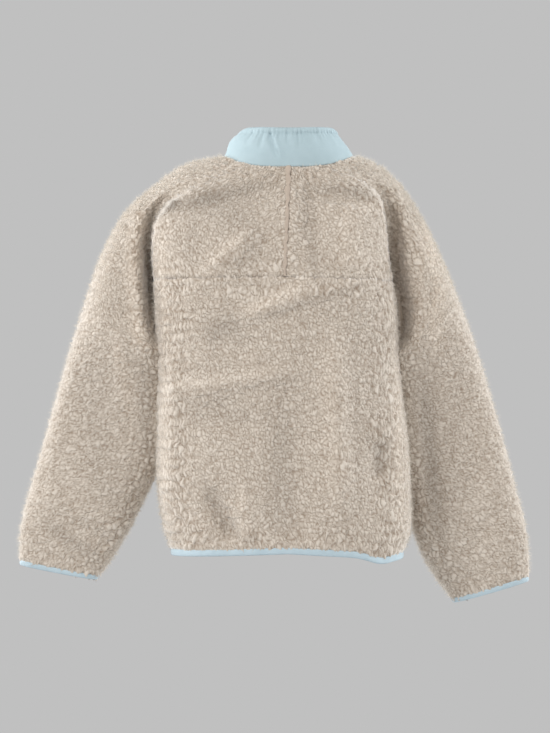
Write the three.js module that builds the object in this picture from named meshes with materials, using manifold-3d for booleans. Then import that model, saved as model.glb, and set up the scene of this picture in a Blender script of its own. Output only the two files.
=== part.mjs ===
// Fleece jacket with a stand collar, filled out as if worn, hollow and open at the neck, hem and cuffs.
// Millimetres, +Z up. The front faces -Y and the wearer's left is +X. The origin is the centre of the
// neck at the height where the collar meets the shoulders.
import * as THREE from 'three';
import Module from 'manifold-3d';
import { mergeVertices } from 'three/addons/utils/BufferGeometryUtils.js';

// ---------------------------------------------------------------- driving dimensions
const FLEECE = 5; // wall of the fleece: knitted ground and pile together
const WOVEN = 3; // wall of the collar: two layers of light woven cloth
const SEAM = 0.3; // clearance between two pieces at a seam

const NECK = { left: 105, right: 108, middleY: -6.5, halfDepth: 68.5, backDrop: 22, frontDrop: 72 };
const NECK_SEAMS = { left: 42.5, right: 34, frontLeft: 50, frontRight: 48 }; // degrees from the centre line

const COLLAR = { left: 76, right: 80, middleY: -11, halfDepth: 61, backTop: 44, frontTop: -10, levelTo: 62 };
// casingFrom is a share of the collar's height; the collar stands straighter at both sides.
const COLLAR_SWELL = { stand: 4, casing: 1.2, casingFrom: 0.84, straight: 0.7, spread: 45 };
const COLLAR_BAG = { reach: 6, rise: 1.6 }; // outwards at the left side only
const SQUARE_SLEEVE = { from: 8, rows: 4, power: 0.6 }; // below the underarm a sleeve's section squares off
const BINDING = { hemHeight: 11, cuffHeight: 9, wall: 3.5, below: 1 };
const BACK_TAPE = { topHalf: 4.8, bottomHalf: 3.2, wall: 1.8, below: 2.8 };
const ZIP = { opening: 11, chainHalf: 3, chainWall: 2.2, chainBelow: 1, tapeWall: 1.4, tapeBelow: 1.9 };
const ZIP_TOP = 0.93; // share of the collar's height that the zip reaches
const ZIP_STEPS = 4; // stretches of the zip on the collar
const HEM_DROOP = { x: -152, width: 28, depth: 9, rows: 4 }; // the hem sags at one side

// The slider, fixed near the top of the closed zip, and the pull tab that swings on its bridge.
const SLIDER = { width: 9, length: 12.5, plate: 1.6, gap: 0.3, corner: 2.8 };
const BRIDGE = { width: 2.4, length: 8.6, beam: 1.2, corner: 1, eyeLength: 5.2, eyeHeight: 2.6 };
const PULL = { width: 8, length: 27, thick: 1.5, bar: 1.4, eyeWidth: 4, eyeLength: 6.4, corner: 2.5 };
const EYE_CORNER = 0.6;

// Grid of the faceted cloth. Rows run down the body: 0 at the neck, YOKE at the yoke seam,
// UNDERARM at the underarm and HEM at the hem.
const YOKE = 7;
const UNDERARM = 10;
const HEM = 20;
const BACK_COLUMNS = 11; // in each half
const FRONT_COLUMNS = 9; // in each front
const CUFF = 22; // row of the sleeve's end
const SLEEVE_COLUMNS = 8; // from the shoulder line to each seam

// ---------------------------------------------------------------- the garment's shape
// Centre lines of the back and front: row, x, y, z.
const BACK_CENTRE = [
  { row: 0, x: 0, y: 62, z: -22 },
  { row: 2, x: 1, y: 88, z: -70 },
  { row: 4, x: 3, y: 106, z: -124 },
  { row: 7, x: 6, y: 118, z: -206 },
  { row: 10, x: 7, y: 116, z: -318 },
  { row: 14, x: 6, y: 109, z: -450 },
  { row: 17, x: 4, y: 109, z: -548 },
  { row: 20, x: 1, y: 113, z: -643 },
];
const FRONT_CENTRE = [
  { row: 0, x: 0, y: -75, z: -72 },
  { row: 2, x: 1, y: -98, z: -112 },
  { row: 4, x: 3, y: -114, z: -158 },
  { row: 7, x: 6, y: -128, z: -232 },
  { row: 10, x: 7, y: -130, z: -325 },
  { row: 14, x: 6, y: -124, z: -452 },
  { row: 17, x: 4, y: -119, z: -550 },
  { row: 20, x: 1, y: -118, z: -648 },
];

// Raglan seams from the neck (row 0 lies on the neck curve) to the underarm: row, x, y, z.
const RAGLAN_BACK_LEFT = [
  { row: 1, x: 102, y: 54, z: -34 },
  { row: 2, x: 138, y: 60, z: -48 },
  { row: 3, x: 172, y: 62, z: -62 },
  { row: 4, x: 205, y: 60, z: -84 },
  { row: 5, x: 224, y: 52, z: -116 },
  { row: 6, x: 228, y: 40, z: -158 },
  { row: 7, x: 224, y: 30, z: -208 },
  { row: 8, x: 221, y: 22, z: -245 },
  { row: 9, x: 219, y: 11, z: -284 },
  { row: 10, x: 218, y: -2, z: -320 },
];
const RAGLAN_BACK_RIGHT = [
  { row: 1, x: -82, y: 52, z: -30 },
  { row: 2, x: -108, y: 58, z: -40 },
  { row: 3, x: -134, y: 60, z: -53 },
  { row: 4, x: -154, y: 56, z: -72 },
  { row: 5, x: -163, y: 46, z: -108 },
  { row: 6, x: -167, y: 35, z: -154 },
  { row: 7, x: -174, y: 25, z: -210 },
  { row: 8, x: -180, y: 17, z: -250 },
  { row: 9, x: -182, y: 8, z: -292 },
  { row: 10, x: -185, y: -4, z: -328 },
];
const RAGLAN_FRONT_LEFT = [
  { row: 1, x: 108, y: -60, z: -42 },
  { row: 2, x: 138, y: -68, z: -62 },
  { row: 3, x: 166, y: -73, z: -86 },
  { row: 4, x: 189, y: -73, z: -116 },
  { row: 5, x: 204, y: -68, z: -150 },
  { row: 6, x: 212, y: -60, z: -188 },
  { row: 7, x: 216, y: -50, z: -226 },
  { row: 8, x: 218, y: -38, z: -260 },
  { row: 9, x: 219, y: -22, z: -294 },
  { row: 10, x: 218, y: -2, z: -320 },
];
const RAGLAN_FRONT_RIGHT = [
  { row: 1, x: -96, y: -60, z: -42 },
  { row: 2, x: -118, y: -68, z: -62 },
  { row: 3, x: -138, y: -72, z: -86 },
  { row: 4, x: -154, y: -72, z: -118 },
  { row: 5, x: -165, y: -67, z: -154 },
  { row: 6, x: -172, y: -59, z: -192 },
  { row: 7, x: -177, y: -49, z: -230 },
  { row: 8, x: -181, y: -37, z: -264 },
  { row: 9, x: -184, y: -22, z: -300 },
  { row: 10, x: -185, y: -4, z: -328 },
];

// Side seams from the underarm to the hem: row, x, y, z.
const SIDE_LEFT = [
  { row: 10, x: 218, y: -2, z: -320 },
  { row: 12, x: 217, y: -4, z: -382 },
  { row: 15, x: 218, y: -5, z: -482 },
  { row: 17, x: 216, y: -4, z: -546 },
  { row: 19, x: 206, y: -3, z: -616 },
  { row: 20, x: 195, y: -2, z: -651 },
];
const SIDE_RIGHT = [
  { row: 10, x: -185, y: -4, z: -328 },
  { row: 12, x: -190, y: -5, z: -392 },
  { row: 15, x: -200, y: -4, z: -488 },
  { row: 17, x: -203, y: -3, z: -553 },
  { row: 19, x: -203, y: -2, z: -622 },
  { row: 20, x: -192, y: -2, z: -655 },
];

// How a row of the body rounds from the centre line to its side: turn is the share of the way from
// the neck's angle to a full quarter turn, flat the power of the cosine, rise the power of the climb.
const ROUNDING = [
  { row: 0, turn: 0, flat: 1, rise: 3 },
  { row: 3, turn: 0.55, flat: 0.9, rise: 1.8 },
  { row: 7, turn: 0.92, flat: 0.76, rise: 1.3 },
  { row: 10, turn: 1, flat: 0.72, rise: 1 },
  { row: 20, turn: 1, flat: 0.72, rise: 1 },
];

// Largest folds of the back and front: a soft ridge (height > 0) or trough between two places.
const BACK_FOLDS = [
  { x1: 58, z1: -266, x2: -96, z2: -222, width: 11, height: 5 },
  { x1: 150, z1: -222, x2: 52, z2: -150, width: 13, height: 3.5 },
  { x1: 186, z1: -392, x2: -10, z2: -362, width: 13, height: 4 },
  { x1: -72, z1: -330, x2: -88, z2: -585, width: 20, height: 6 },
  { x1: -8, z1: -390, x2: -24, z2: -640, width: 22, height: -6 },
  { x1: 120, z1: -560, x2: 92, z2: -640, width: 16, height: -7 },
  { x1: -136, z1: -470, x2: -150, z2: -570, width: 18, height: -5 },
  { x1: 150, z1: -430, x2: 40, z2: -446, width: 20, height: -3.5 },
  { x1: -30, z1: -60, x2: -34, z2: -150, width: 15, height: -4 },
];
const FRONT_FOLDS = [
  { x1: 150, z1: -300, x2: 50, z2: -420, width: 15, height: 4.5 },
  { x1: -140, z1: -310, x2: -60, z2: -400, width: 15, height: 4 },
  { x1: 120, z1: -470, x2: 96, z2: -630, width: 20, height: -6 },
  { x1: -92, z1: -450, x2: -104, z2: -630, width: 20, height: 5.5 },
];

// Sleeves, row by row: the outer and under edge of the section (x, z), its middle in y, its half
// depth, how far its widest place swells outward, and how late the cloth turns in to the raglan
// seam (pull). Rows 0 to UNDERARM cross the shoulder from seam to seam, the rest are whole rings.
const SLEEVE_LEFT = [
  { row: 0, outX: 105, outZ: 0, underX: 218, underZ: -320, y: -6, depth: 62, swell: 0, pull: 1.2 },
  { row: 2, outX: 174, outZ: -18, underX: 218, underZ: -320, y: -5, depth: 64, swell: 4, pull: 1.2 },
  { row: 4, outX: 231, outZ: -59, underX: 218, underZ: -320, y: -4, depth: 65, swell: 10, pull: 1.6 },
  { row: 6, outX: 273, outZ: -101, underX: 218, underZ: -320, y: -6, depth: 65, swell: 16, pull: 2.6 },
  { row: 8, outX: 309, outZ: -166, underX: 218, underZ: -320, y: -10, depth: 64, swell: 14, pull: 3.4 },
  { row: 10, outX: 337, outZ: -243, underX: 218, underZ: -320, y: -18, depth: 61, swell: 10, pull: 3.4 },
  { row: 12, outX: 363, outZ: -322, underX: 218, underZ: -366, y: -30, depth: 57, swell: 5, pull: 3 },
  { row: 14, outX: 387, outZ: -402, underX: 217, underZ: -440, y: -41, depth: 52, swell: 2, pull: 3 },
  { row: 16, outX: 410, outZ: -482, underX: 224, underZ: -523, y: -47, depth: 48, swell: 0, pull: 3 },
  { row: 18, outX: 431, outZ: -552, underX: 250, underZ: -592, y: -50, depth: 43, swell: 0, pull: 3 },
  { row: 20, outX: 448, outZ: -617, underX: 282, underZ: -652, y: -52, depth: 37, swell: 0, pull: 3 },
  { row: 22, outX: 451, outZ: -675, underX: 315, underZ: -702, y: -53, depth: 28, swell: 0, pull: 3 },
];
const SLEEVE_RIGHT = [
  { row: 0, outX: -108, outZ: 0, underX: -185, underZ: -328, y: -6, depth: 62, swell: 0, pull: 1.2 },
  { row: 2, outX: -153, outZ: -18, underX: -185, underZ: -328, y: -5, depth: 63, swell: 4, pull: 1.2 },
  { row: 4, outX: -190, outZ: -55, underX: -185, underZ: -328, y: -7, depth: 64, swell: 10, pull: 1.6 },
  { row: 6, outX: -222, outZ: -105, underX: -185, underZ: -328, y: -12, depth: 64, swell: 16, pull: 2.6 },
  { row: 8, outX: -253, outZ: -167, underX: -185, underZ: -328, y: -20, depth: 62, swell: 14, pull: 3.4 },
  { row: 10, outX: -283, outZ: -237, underX: -185, underZ: -328, y: -31, depth: 60, swell: 10, pull: 3.4 },
  { row: 12, outX: -312, outZ: -313, underX: -192, underZ: -376, y: -43, depth: 57, swell: 5, pull: 3 },
  { row: 14, outX: -337, outZ: -391, underX: -195, underZ: -452, y: -53, depth: 53, swell: 2, pull: 3 },
  { row: 16, outX: -360, outZ: -469, underX: -198, underZ: -528, y: -59, depth: 49, swell: 0, pull: 3 },
  { row: 18, outX: -382, outZ: -551, underX: -206, underZ: -602, y: -63, depth: 44, swell: 0, pull: 3 },
  { row: 20, outX: -402, outZ: -630, underX: -228, underZ: -670, y: -66, depth: 38, swell: 0, pull: 3 },
  { row: 22, outX: -407, outZ: -703, underX: -274, underZ: -742, y: -68, depth: 28, swell: 0, pull: 3 },
];
const NECK_FADE = 2; // rows over which a sleeve's neck edge fades into the plain sections
const UNDERARM_FADE = 3; // rows over which the underarm's own place fades out below it

// ---------------------------------------------------------------- reading tables and curves
const radians = (degrees) => (degrees * Math.PI) / 180;
const clamp01 = (value) => Math.min(Math.max(value, 0), 1);
const smooth = (value) => clamp01(value) ** 2 * (3 - 2 * clamp01(value));

/** Reads one column of a table at any row, along a smooth curve through its entries. */
function read(table, row, column) {
  const last = table.length - 1;
  let i = 0;
  while (i < last - 1 && row > table[i + 1].row) i += 1;
  const slope = (k) => {
    const before = table[Math.max(k - 1, 0)];
    const after = table[Math.min(k + 1, last)];
    return (after[column] - before[column]) / (after.row - before.row);
  };
  const span = table[i + 1].row - table[i].row;
  const t = (row - table[i].row) / span;
  const from = table[i][column];
  const to = table[i + 1][column];
  return (
    (1 + 2 * t) * (1 - t) ** 2 * from +
    t * (1 - t) ** 2 * span * slope(i) +
    t * t * (3 - 2 * t) * to +
    t * t * (t - 1) * span * slope(i + 1)
  );
}

/** A table's x, y and z at a row. */
const place = (table, row) =>
  new THREE.Vector3(read(table, row, 'x'), read(table, row, 'y'), read(table, row, 'z'));

/** A point of the neck seam; angle 0 is the centre back, 90 the left side, 180 the centre front. */
function neck(angle) {
  const sine = Math.sin(radians(angle));
  const cosine = Math.cos(radians(angle));
  const drop = cosine > 0 ? NECK.backDrop : NECK.frontDrop;
  return new THREE.Vector3(
    sine * (sine > 0 ? NECK.left : NECK.right),
    NECK.middleY + NECK.halfDepth * cosine,
    -drop * (1 - Math.abs(sine) ** 3),
  );
}

/** Everything that describes one half of the back or front. */
function halfBody(centre, raglan, side, neckAngle, neckTurn, folds, centreGap) {
  const start = neck(neckAngle);
  const seam = [{ row: 0, x: start.x, y: start.y, z: start.z }, ...raglan];
  return { centre, seam, side, neckAngle, neckTurn, folds, centreGap };
}

const backTapeHalf = (row) =>
  BACK_TAPE.topHalf + (BACK_TAPE.bottomHalf - BACK_TAPE.topHalf) * clamp01(row / YOKE);
const HALVES = {
  backLeft: halfBody(BACK_CENTRE, RAGLAN_BACK_LEFT, SIDE_LEFT,
    NECK_SEAMS.left, NECK_SEAMS.left, BACK_FOLDS, backTapeHalf),
  backRight: halfBody(BACK_CENTRE, RAGLAN_BACK_RIGHT, SIDE_RIGHT,
    -NECK_SEAMS.right, NECK_SEAMS.right, BACK_FOLDS, backTapeHalf),
  frontLeft: halfBody(FRONT_CENTRE, RAGLAN_FRONT_LEFT, SIDE_LEFT,
    180 - NECK_SEAMS.frontLeft, NECK_SEAMS.frontLeft, FRONT_FOLDS, () => ZIP.opening),
  frontRight: halfBody(FRONT_CENTRE, RAGLAN_FRONT_RIGHT, SIDE_RIGHT,
    NECK_SEAMS.frontRight - 180, NECK_SEAMS.frontRight, FRONT_FOLDS, () => ZIP.opening),
};

/** Height of all folds at a place of the back or front, seen square on. */
function foldHeight(folds, x, z) {
  let height = 0;
  for (const fold of folds) {
    const alongX = fold.x2 - fold.x1;
    const alongZ = fold.z2 - fold.z1;
    const length = Math.hypot(alongX, alongZ);
    const t = ((x - fold.x1) * alongX + (z - fold.z1) * alongZ) / (length * length);
    const off = ((x - fold.x1) * alongZ - (z - fold.z1) * alongX) / length;
    const ends = smooth((t + 0.25) / 0.5) * smooth((1.25 - t) / 0.5);
    height += fold.height * ends * Math.exp(-((off / fold.width) ** 2));
  }
  return height;
}

/** The edge of a half: its raglan seam down to the underarm, then its side seam. */
const edgeOf = (half, row) => (row <= UNDERARM ? place(half.seam, row) : place(half.side, row));

/** A point of a half's outer face: across 0 is next to the centre line, 1 is the seam. */
function bodyPoint(half, row, across) {
  const middle = place(half.centre, row);
  const edge = edgeOf(half, row);
  const turn = half.neckTurn + (90 - half.neckTurn) * clamp01(read(ROUNDING, row, 'turn'));
  const flat = read(ROUNDING, row, 'flat');
  const reach = Math.sin(radians(turn));
  const width = Math.abs(edge.x - middle.x);
  const first = Math.asin((half.centreGap(row) * reach) / width);
  const angle = first + (radians(turn) - first) * across;
  const low = Math.max(Math.cos(radians(turn)), 0) ** flat;
  const bulge = (Math.max(Math.cos(angle), 0) ** flat - low) / (1 - low);
  const share = Math.sin(angle) / reach;
  const point = new THREE.Vector3(
    middle.x + (edge.x - middle.x) * share,
    edge.y + (middle.y - edge.y) * bulge,
    middle.z + (edge.z - middle.z) * share ** read(ROUNDING, row, 'rise'),
  );
  const sag = smooth((row - HEM + HEM_DROOP.rows) / HEM_DROOP.rows);
  point.z -= sag * HEM_DROOP.depth * Math.exp(-(((point.x - HEM_DROOP.x) / HEM_DROOP.width) ** 2));
  const calm = smooth((1 - across) * 4) * smooth(row / 2) * smooth((HEM + 1 - row) / 2);
  point.y += Math.sign(middle.y) * calm * foldHeight(half.folds, point.x, point.z);
  return point;
}

/** Rows of points of one half between two rows; outward from the centre line. */
function halfGrid(half, fromRow, toRow, columns) {
  const grid = [];
  for (let row = fromRow; row <= toRow; row += 1) {
    grid.push(Array.from({ length: columns + 1 }, (_, k) => bodyPoint(half, row, k / columns)));
  }
  return grid;
}

/** A point of a plain sleeve section; turn 0 is the outer edge, 90 the back, 180 the under edge. */
function sleeveSection(table, row, turn) {
  const outer = new THREE.Vector2(read(table, row, 'outX'), read(table, row, 'outZ'));
  const under = new THREE.Vector2(read(table, row, 'underX'), read(table, row, 'underZ'));
  const middle = outer.clone().add(under).multiplyScalar(0.5);
  const half = outer.clone().sub(under).multiplyScalar(0.5);
  const outward = new THREE.Vector2(half.y, -half.x).normalize();
  if (outward.x * outer.x < 0) outward.negate();
  const sine = Math.sin(radians(turn));
  middle.addScaledVector(half, Math.cos(radians(turn)));
  middle.addScaledVector(outward, read(table, row, 'swell') * sine * sine);
  const square = smooth((row - SQUARE_SLEEVE.from) / SQUARE_SLEEVE.rows);
  const power = 1 + (SQUARE_SLEEVE.power - 1) * square;
  const y = read(table, row, 'y') + read(table, row, 'depth') * Math.sign(sine) * Math.abs(sine) ** power;
  return new THREE.Vector3(middle.x, y, middle.y);
}

/** How far round its section a sleeve row reaches before it meets a raglan seam. */
function seamTurn(table, row, seamPoint) {
  const outer = sleeveSection(table, row, 0);
  const axis = outer.clone().sub(sleeveSection(table, row, 180)).multiplyScalar(0.5);
  const middle = outer.clone().sub(axis);
  const offset = seamPoint.clone().sub(middle).setY(0);
  const cosine = Math.min(Math.max(offset.dot(axis) / axis.lengthSq(), -1), 1);
  return (Math.acos(cosine) * 180) / Math.PI;
}

/** A sleeve's outer face before its neck edge is shaped; across as in sleevePoint. */
function plainSleevePoint(sleeve, row, across) {
  const half = across < 0 ? sleeve.back : sleeve.front;
  const way = across < 0 ? 1 : -1;
  const share = Math.abs(across);
  const seamRow = Math.min(row, UNDERARM);
  const seamPoint = edgeOf(half, seamRow);
  const reach = seamTurn(sleeve.table, seamRow, seamPoint);
  const turnIn = seamPoint.sub(sleeveSection(sleeve.table, seamRow, way * reach));
  turnIn.multiplyScalar(1 - smooth((row - UNDERARM) / UNDERARM_FADE));
  const point = sleeveSection(sleeve.table, row, way * reach * share);
  return point.addScaledVector(turnIn, share ** read(sleeve.table, row, 'pull'));
}

/** A sleeve's outer face: across runs from -1, the back seam, over the shoulder line to 1. */
function sleevePoint(sleeve, row, across) {
  const point = plainSleevePoint(sleeve, row, across);
  if (row >= NECK_FADE) return point;
  const half = across < 0 ? sleeve.back : sleeve.front;
  const edge = neck(sleeve.neckMiddle + (half.neckAngle - sleeve.neckMiddle) * Math.abs(across));
  return point.addScaledVector(edge.sub(plainSleevePoint(sleeve, 0, across)), 1 - smooth(row / NECK_FADE));
}

/** Rows of a sleeve from the neck to the cuff, each from the back seam to the front seam. */
function sleeveGrid(sleeve) {
  const grid = [];
  for (let row = 0; row <= CUFF; row += 1) {
    grid.push(Array.from({ length: 2 * SLEEVE_COLUMNS + 1 },
      (_, k) => sleevePoint(sleeve, row, k / SLEEVE_COLUMNS - 1)));
  }
  return grid;
}

// ---------------------------------------------------------------- walls between seams
const SAME_PLACE = 0.05; // points nearer than this are one point of a seam
const LEAST_LEAN = 0.6; // keeps a mitre from running out where a seam turns sharply
const keyOf = (p) => [p.x, p.y, p.z].map((v) => Math.round(v / SAME_PLACE)).join(' ');
const middleOf = (a, b) => a.clone().add(b).multiplyScalar(0.5);
const seamSpans = new Map(); // how many sheets end on each short span of an edge
const seamStands = new Map(); // the way the cut edges stand at each seam point

/** A sheet of cloth as a grid of points of its outer face, which may lie mirrored (flipped). */
class Sheet {
  constructor(grid, { flipped = false } = {}) {
    this.grid = grid;
    this.flipped = flipped;
    this.rows = grid.length;
    this.columns = grid[0].length;
  }

  at(i, j) {
    return this.grid[i]?.[j];
  }

  along(i, j) {
    const before = this.at(i - 1, j) ?? this.at(i, j);
    const after = this.at(i + 1, j) ?? this.at(i, j);
    return after.clone().sub(before);
  }

  across(i, j) {
    const before = this.at(i, j - 1) ?? this.at(i, j);
    const after = this.at(i, j + 1) ?? this.at(i, j);
    return after.clone().sub(before);
  }

  normal(i, j) {
    const normal = this.along(i, j).cross(this.across(i, j)).normalize();
    return this.flipped ? normal.negate() : normal;
  }

  /** Edges through a grid point, each as the points before and after it and one further in. */
  edgesAt(i, j) {
    const found = [];
    const add = (before, after, inner) => found.push({ before, after, inner });
    if (i === 0) add(this.at(i, j - 1), this.at(i, j + 1), this.at(1, j));
    if (i === this.rows - 1) add(this.at(i, j - 1), this.at(i, j + 1), this.at(i - 1, j));
    if (j === 0) add(this.at(i - 1, j), this.at(i + 1, j), this.at(i, 1));
    if (j === this.columns - 1) add(this.at(i - 1, j), this.at(i + 1, j), this.at(i, j - 1));
    return found;
  }

  eachEdgePoint(visit) {
    for (let i = 0; i < this.rows; i += 1) {
      for (let j = 0; j < this.columns; j += 1) {
        if (this.edgesAt(i, j).length > 0) visit(i, j);
      }
    }
  }

  /** Counts this sheet at every span of its edges. */
  countSpans() {
    this.eachEdgePoint((i, j) => {
      for (const { after } of this.edgesAt(i, j)) {
        if (!after) continue;
        const key = keyOf(middleOf(this.at(i, j), after));
        seamSpans.set(key, (seamSpans.get(key) ?? 0) + 1);
      }
    });
  }

  /** The seams through a grid point: their direction and the way into the sheet. */
  seamsAt(i, j) {
    const point = this.at(i, j);
    const shared = (other) => other && seamSpans.get(keyOf(middleOf(point, other))) > 1;
    return this.edgesAt(i, j)
      .filter(({ before, after }) => shared(before) || shared(after))
      .map(({ before, after, inner }) => {
        const direction = (after ?? point).clone().sub(before ?? point).normalize();
        const into = inner.clone().sub(point);
        into.addScaledVector(direction, -into.dot(direction)).normalize();
        return { direction, into };
      });
  }

  /** Adds this sheet's share to the way the cut edges stand at its seams. */
  addStands() {
    this.eachEdgePoint((i, j) => {
      const found = this.seamsAt(i, j);
      if (found.length === 0) return;
      const key = keyOf(this.at(i, j));
      const stand = seamStands.get(key) ?? new THREE.Vector3();
      stand.add(this.normal(i, j));
      for (const { into } of found) stand.add(into);
      seamStands.set(key, stand);
    });
  }

  /** Outer and inner point at a grid point, kept half a seam's clearance from its neighbours. */
  wallPoints(i, j, thick, below) {
    const point = this.at(i, j).clone();
    const own = this.normal(i, j);
    const found = this.seamsAt(i, j);
    const stand = found.length > 0 ? seamStands.get(keyOf(point)).clone().normalize() : own;
    for (const { direction, into } of found) {
      const away = stand.clone().cross(direction).normalize();
      if (into.dot(away) - own.dot(away) < 0) away.negate();
      point.addScaledVector(away, SEAM / 2);
    }
    const lean = Math.max(stand.dot(own), LEAST_LEAN);
    return {
      outer: point.clone().addScaledVector(stand, -below / lean),
      inner: point.clone().addScaledVector(stand, -(below + thick) / lean),
    };
  }

  /** The closed wall of the sheet. */
  wall(thick, below = 0) {
    const positions = [];
    const width = this.columns;
    const faces = [];
    for (let i = 0; i < this.rows; i += 1) {
      for (let j = 0; j < width; j += 1) {
        const { outer, inner } = this.wallPoints(i, j, thick, below);
        positions.push(outer.x, outer.y, outer.z, inner.x, inner.y, inner.z);
      }
    }
    const outerAt = (i, j) => 2 * (i * width + j);
    const innerAt = (i, j) => outerAt(i, j) + 1;
    const quad = (a, b, c, d) => {
      if (this.flipped) faces.push(a, c, b, a, d, c);
      else faces.push(a, b, c, a, c, d);
    };
    const strips = width - 1;
    for (let i = 0; i < this.rows - 1; i += 1) {
      for (let j = 0; j < strips; j += 1) {
        quad(outerAt(i, j), outerAt(i + 1, j), outerAt(i + 1, j + 1), outerAt(i, j + 1));
        quad(innerAt(i, j), innerAt(i, j + 1), innerAt(i + 1, j + 1), innerAt(i + 1, j));
      }
    }
    for (let j = 0; j < strips; j += 1) {
      const end = this.rows - 1;
      quad(outerAt(0, j), outerAt(0, j + 1), innerAt(0, j + 1), innerAt(0, j));
      quad(outerAt(end, j), innerAt(end, j), innerAt(end, j + 1), outerAt(end, j + 1));
    }
    for (let i = 0; i < this.rows - 1; i += 1) {
      const end = width - 1;
      quad(outerAt(i, 0), innerAt(i, 0), innerAt(i + 1, 0), outerAt(i + 1, 0));
      quad(outerAt(i, end), outerAt(i + 1, end), innerAt(i + 1, end), innerAt(i, end));
    }
    const geometry = new THREE.BufferGeometry();
    geometry.setAttribute('position', new THREE.Float32BufferAttribute(positions, 3));
    geometry.setIndex(faces);
    return geometry;
  }
}

// ---------------------------------------------------------------- the sheets of the garment
const reversedRows = (grid) => grid.map((row) => [...row].reverse());
const joinRows = (...grids) => grids[0].map((_, i) => grids.flatMap((grid) => grid[i]));

const yokeLeft = halfGrid(HALVES.backLeft, 0, YOKE, BACK_COLUMNS);
const yokeRight = halfGrid(HALVES.backRight, 0, YOKE, BACK_COLUMNS);
const lowerLeft = halfGrid(HALVES.backLeft, YOKE, HEM, BACK_COLUMNS);
const lowerRight = halfGrid(HALVES.backRight, YOKE, HEM, BACK_COLUMNS);
const frontLeft = halfGrid(HALVES.frontLeft, 0, HEM, FRONT_COLUMNS);
const frontRight = halfGrid(HALVES.frontRight, 0, HEM, FRONT_COLUMNS);

const SLEEVES = {
  left: { table: SLEEVE_LEFT, back: HALVES.backLeft, front: HALVES.frontLeft, neckMiddle: 90 },
  right: { table: SLEEVE_RIGHT, back: HALVES.backRight, front: HALVES.frontRight, neckMiddle: -90 },
};
const sleeveLeft = sleeveGrid(SLEEVES.left);
const sleeveRight = sleeveGrid(SLEEVES.right);

/** The neck seam's points from the left front edge, round the back, to the right front edge. */
const neckLine = [
  ...frontLeft[0],
  ...[...sleeveLeft[0]].reverse().slice(1, -1),
  ...[...yokeLeft[0]].reverse(),
  ...yokeRight[0],
  ...sleeveRight[0].slice(1, -1),
  ...[...frontRight[0]].reverse(),
];

/** A collar point above a point of the neck seam; up 0 is the seam, 1 the top edge. */
function collarPoint(base, up) {
  const sine = base.x / (base.x > 0 ? NECK.left : NECK.right);
  const cosine = (base.y - NECK.middleY) / NECK.halfDepth;
  const angle = Math.atan2(sine, cosine) * (180 / Math.PI);
  const level = smooth((Math.abs(angle) - COLLAR.levelTo) / (180 - COLLAR.levelTo));
  const top = new THREE.Vector3(
    (sine > 0 ? COLLAR.left : COLLAR.right) * sine,
    COLLAR.middleY + COLLAR.halfDepth * cosine,
    COLLAR.backTop + (COLLAR.frontTop - COLLAR.backTop) * level,
  );
  const point = base.clone().lerp(top, up);
  const upStand = clamp01(up / COLLAR_SWELL.casingFrom);
  const upCasing = clamp01((up - COLLAR_SWELL.casingFrom) / (1 - COLLAR_SWELL.casingFrom));
  const [left, right] = [90, -90].map((side) => Math.exp(-(((angle - side) / COLLAR_SWELL.spread) ** 2)));
  const stand = COLLAR_SWELL.stand * (1 - COLLAR_SWELL.straight * (left + right));
  const bag = COLLAR_BAG.reach * left * Math.sin(Math.PI * up ** COLLAR_BAG.rise);
  const swell =
    stand * Math.sin(Math.PI * upStand) + bag + COLLAR_SWELL.casing * Math.sin(Math.PI * upCasing);
  point.x += sine * swell;
  point.y += cosine * swell;
  return point;
}

const COLLAR_ROWS = [1, COLLAR_SWELL.casingFrom, 0.45, 0];
const collarGrid = COLLAR_ROWS.map((up) => neckLine.map((base) => collarPoint(base, up)));

/** A band that carries a sheet's last row on by a height. */
function bandGrid(grid, height) {
  const ring = grid[grid.length - 1];
  const before = grid[grid.length - 2];
  const lower = ring.map((point, k) => {
    const way = point.clone().sub(before[k]).normalize();
    return point.clone().addScaledVector(way, height);
  });
  return [ring, lower];
}

const hemRing = [
  ...frontLeft[HEM],
  ...[...lowerLeft[HEM - YOKE]].reverse().slice(1),
  ...lowerRight[HEM - YOKE],
  ...[...frontRight[HEM]].reverse().slice(1),
];
const hemGrid = [hemRing, hemRing.map((p) => p.clone().setZ(p.z - BINDING.hemHeight))];
const cuffGrid = (sleeve) => bandGrid(sleeve, BINDING.cuffHeight);

const backLower = joinRows(reversedRows(lowerLeft), lowerRight);
const tapeGrid = yokeLeft.map((row, i) => [row[0], yokeRight[i][0]]);

const SHEETS = {
  back_lower: new Sheet(backLower),
  back_yoke_left: new Sheet(reversedRows(yokeLeft)),
  back_yoke_right: new Sheet(yokeRight),
  front_left: new Sheet(frontLeft),
  front_right: new Sheet(reversedRows(frontRight)),
  sleeve_left: new Sheet(sleeveLeft, { flipped: true }),
  sleeve_right: new Sheet(sleeveRight),
  collar: new Sheet(collarGrid),
  hem_binding: new Sheet(hemGrid),
  cuff_binding_left: new Sheet(cuffGrid(sleeveLeft), { flipped: true }),
  cuff_binding_right: new Sheet(cuffGrid(sleeveRight)),
  centre_back_tape: new Sheet(tapeGrid),
};

for (const sheet of Object.values(SHEETS)) sheet.countSpans();
for (const sheet of Object.values(SHEETS)) sheet.addStands();

// ---------------------------------------------------------------- the zip
const collarFront = (up) => [collarPoint(neckLine[0], up), collarPoint(neckLine.at(-1), up)];

/** The opening's two edges, left and right, from the collar's top to the bottom of the hem. */
const opening = [
  ...Array.from({ length: ZIP_STEPS }, (_, k) => collarFront((1 - k / ZIP_STEPS) * ZIP_TOP)),
  ...frontLeft.map((row, i) => [row[0], frontRight[i][0]]),
  [hemGrid[1][0], hemGrid[1].at(-1)],
];

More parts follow.
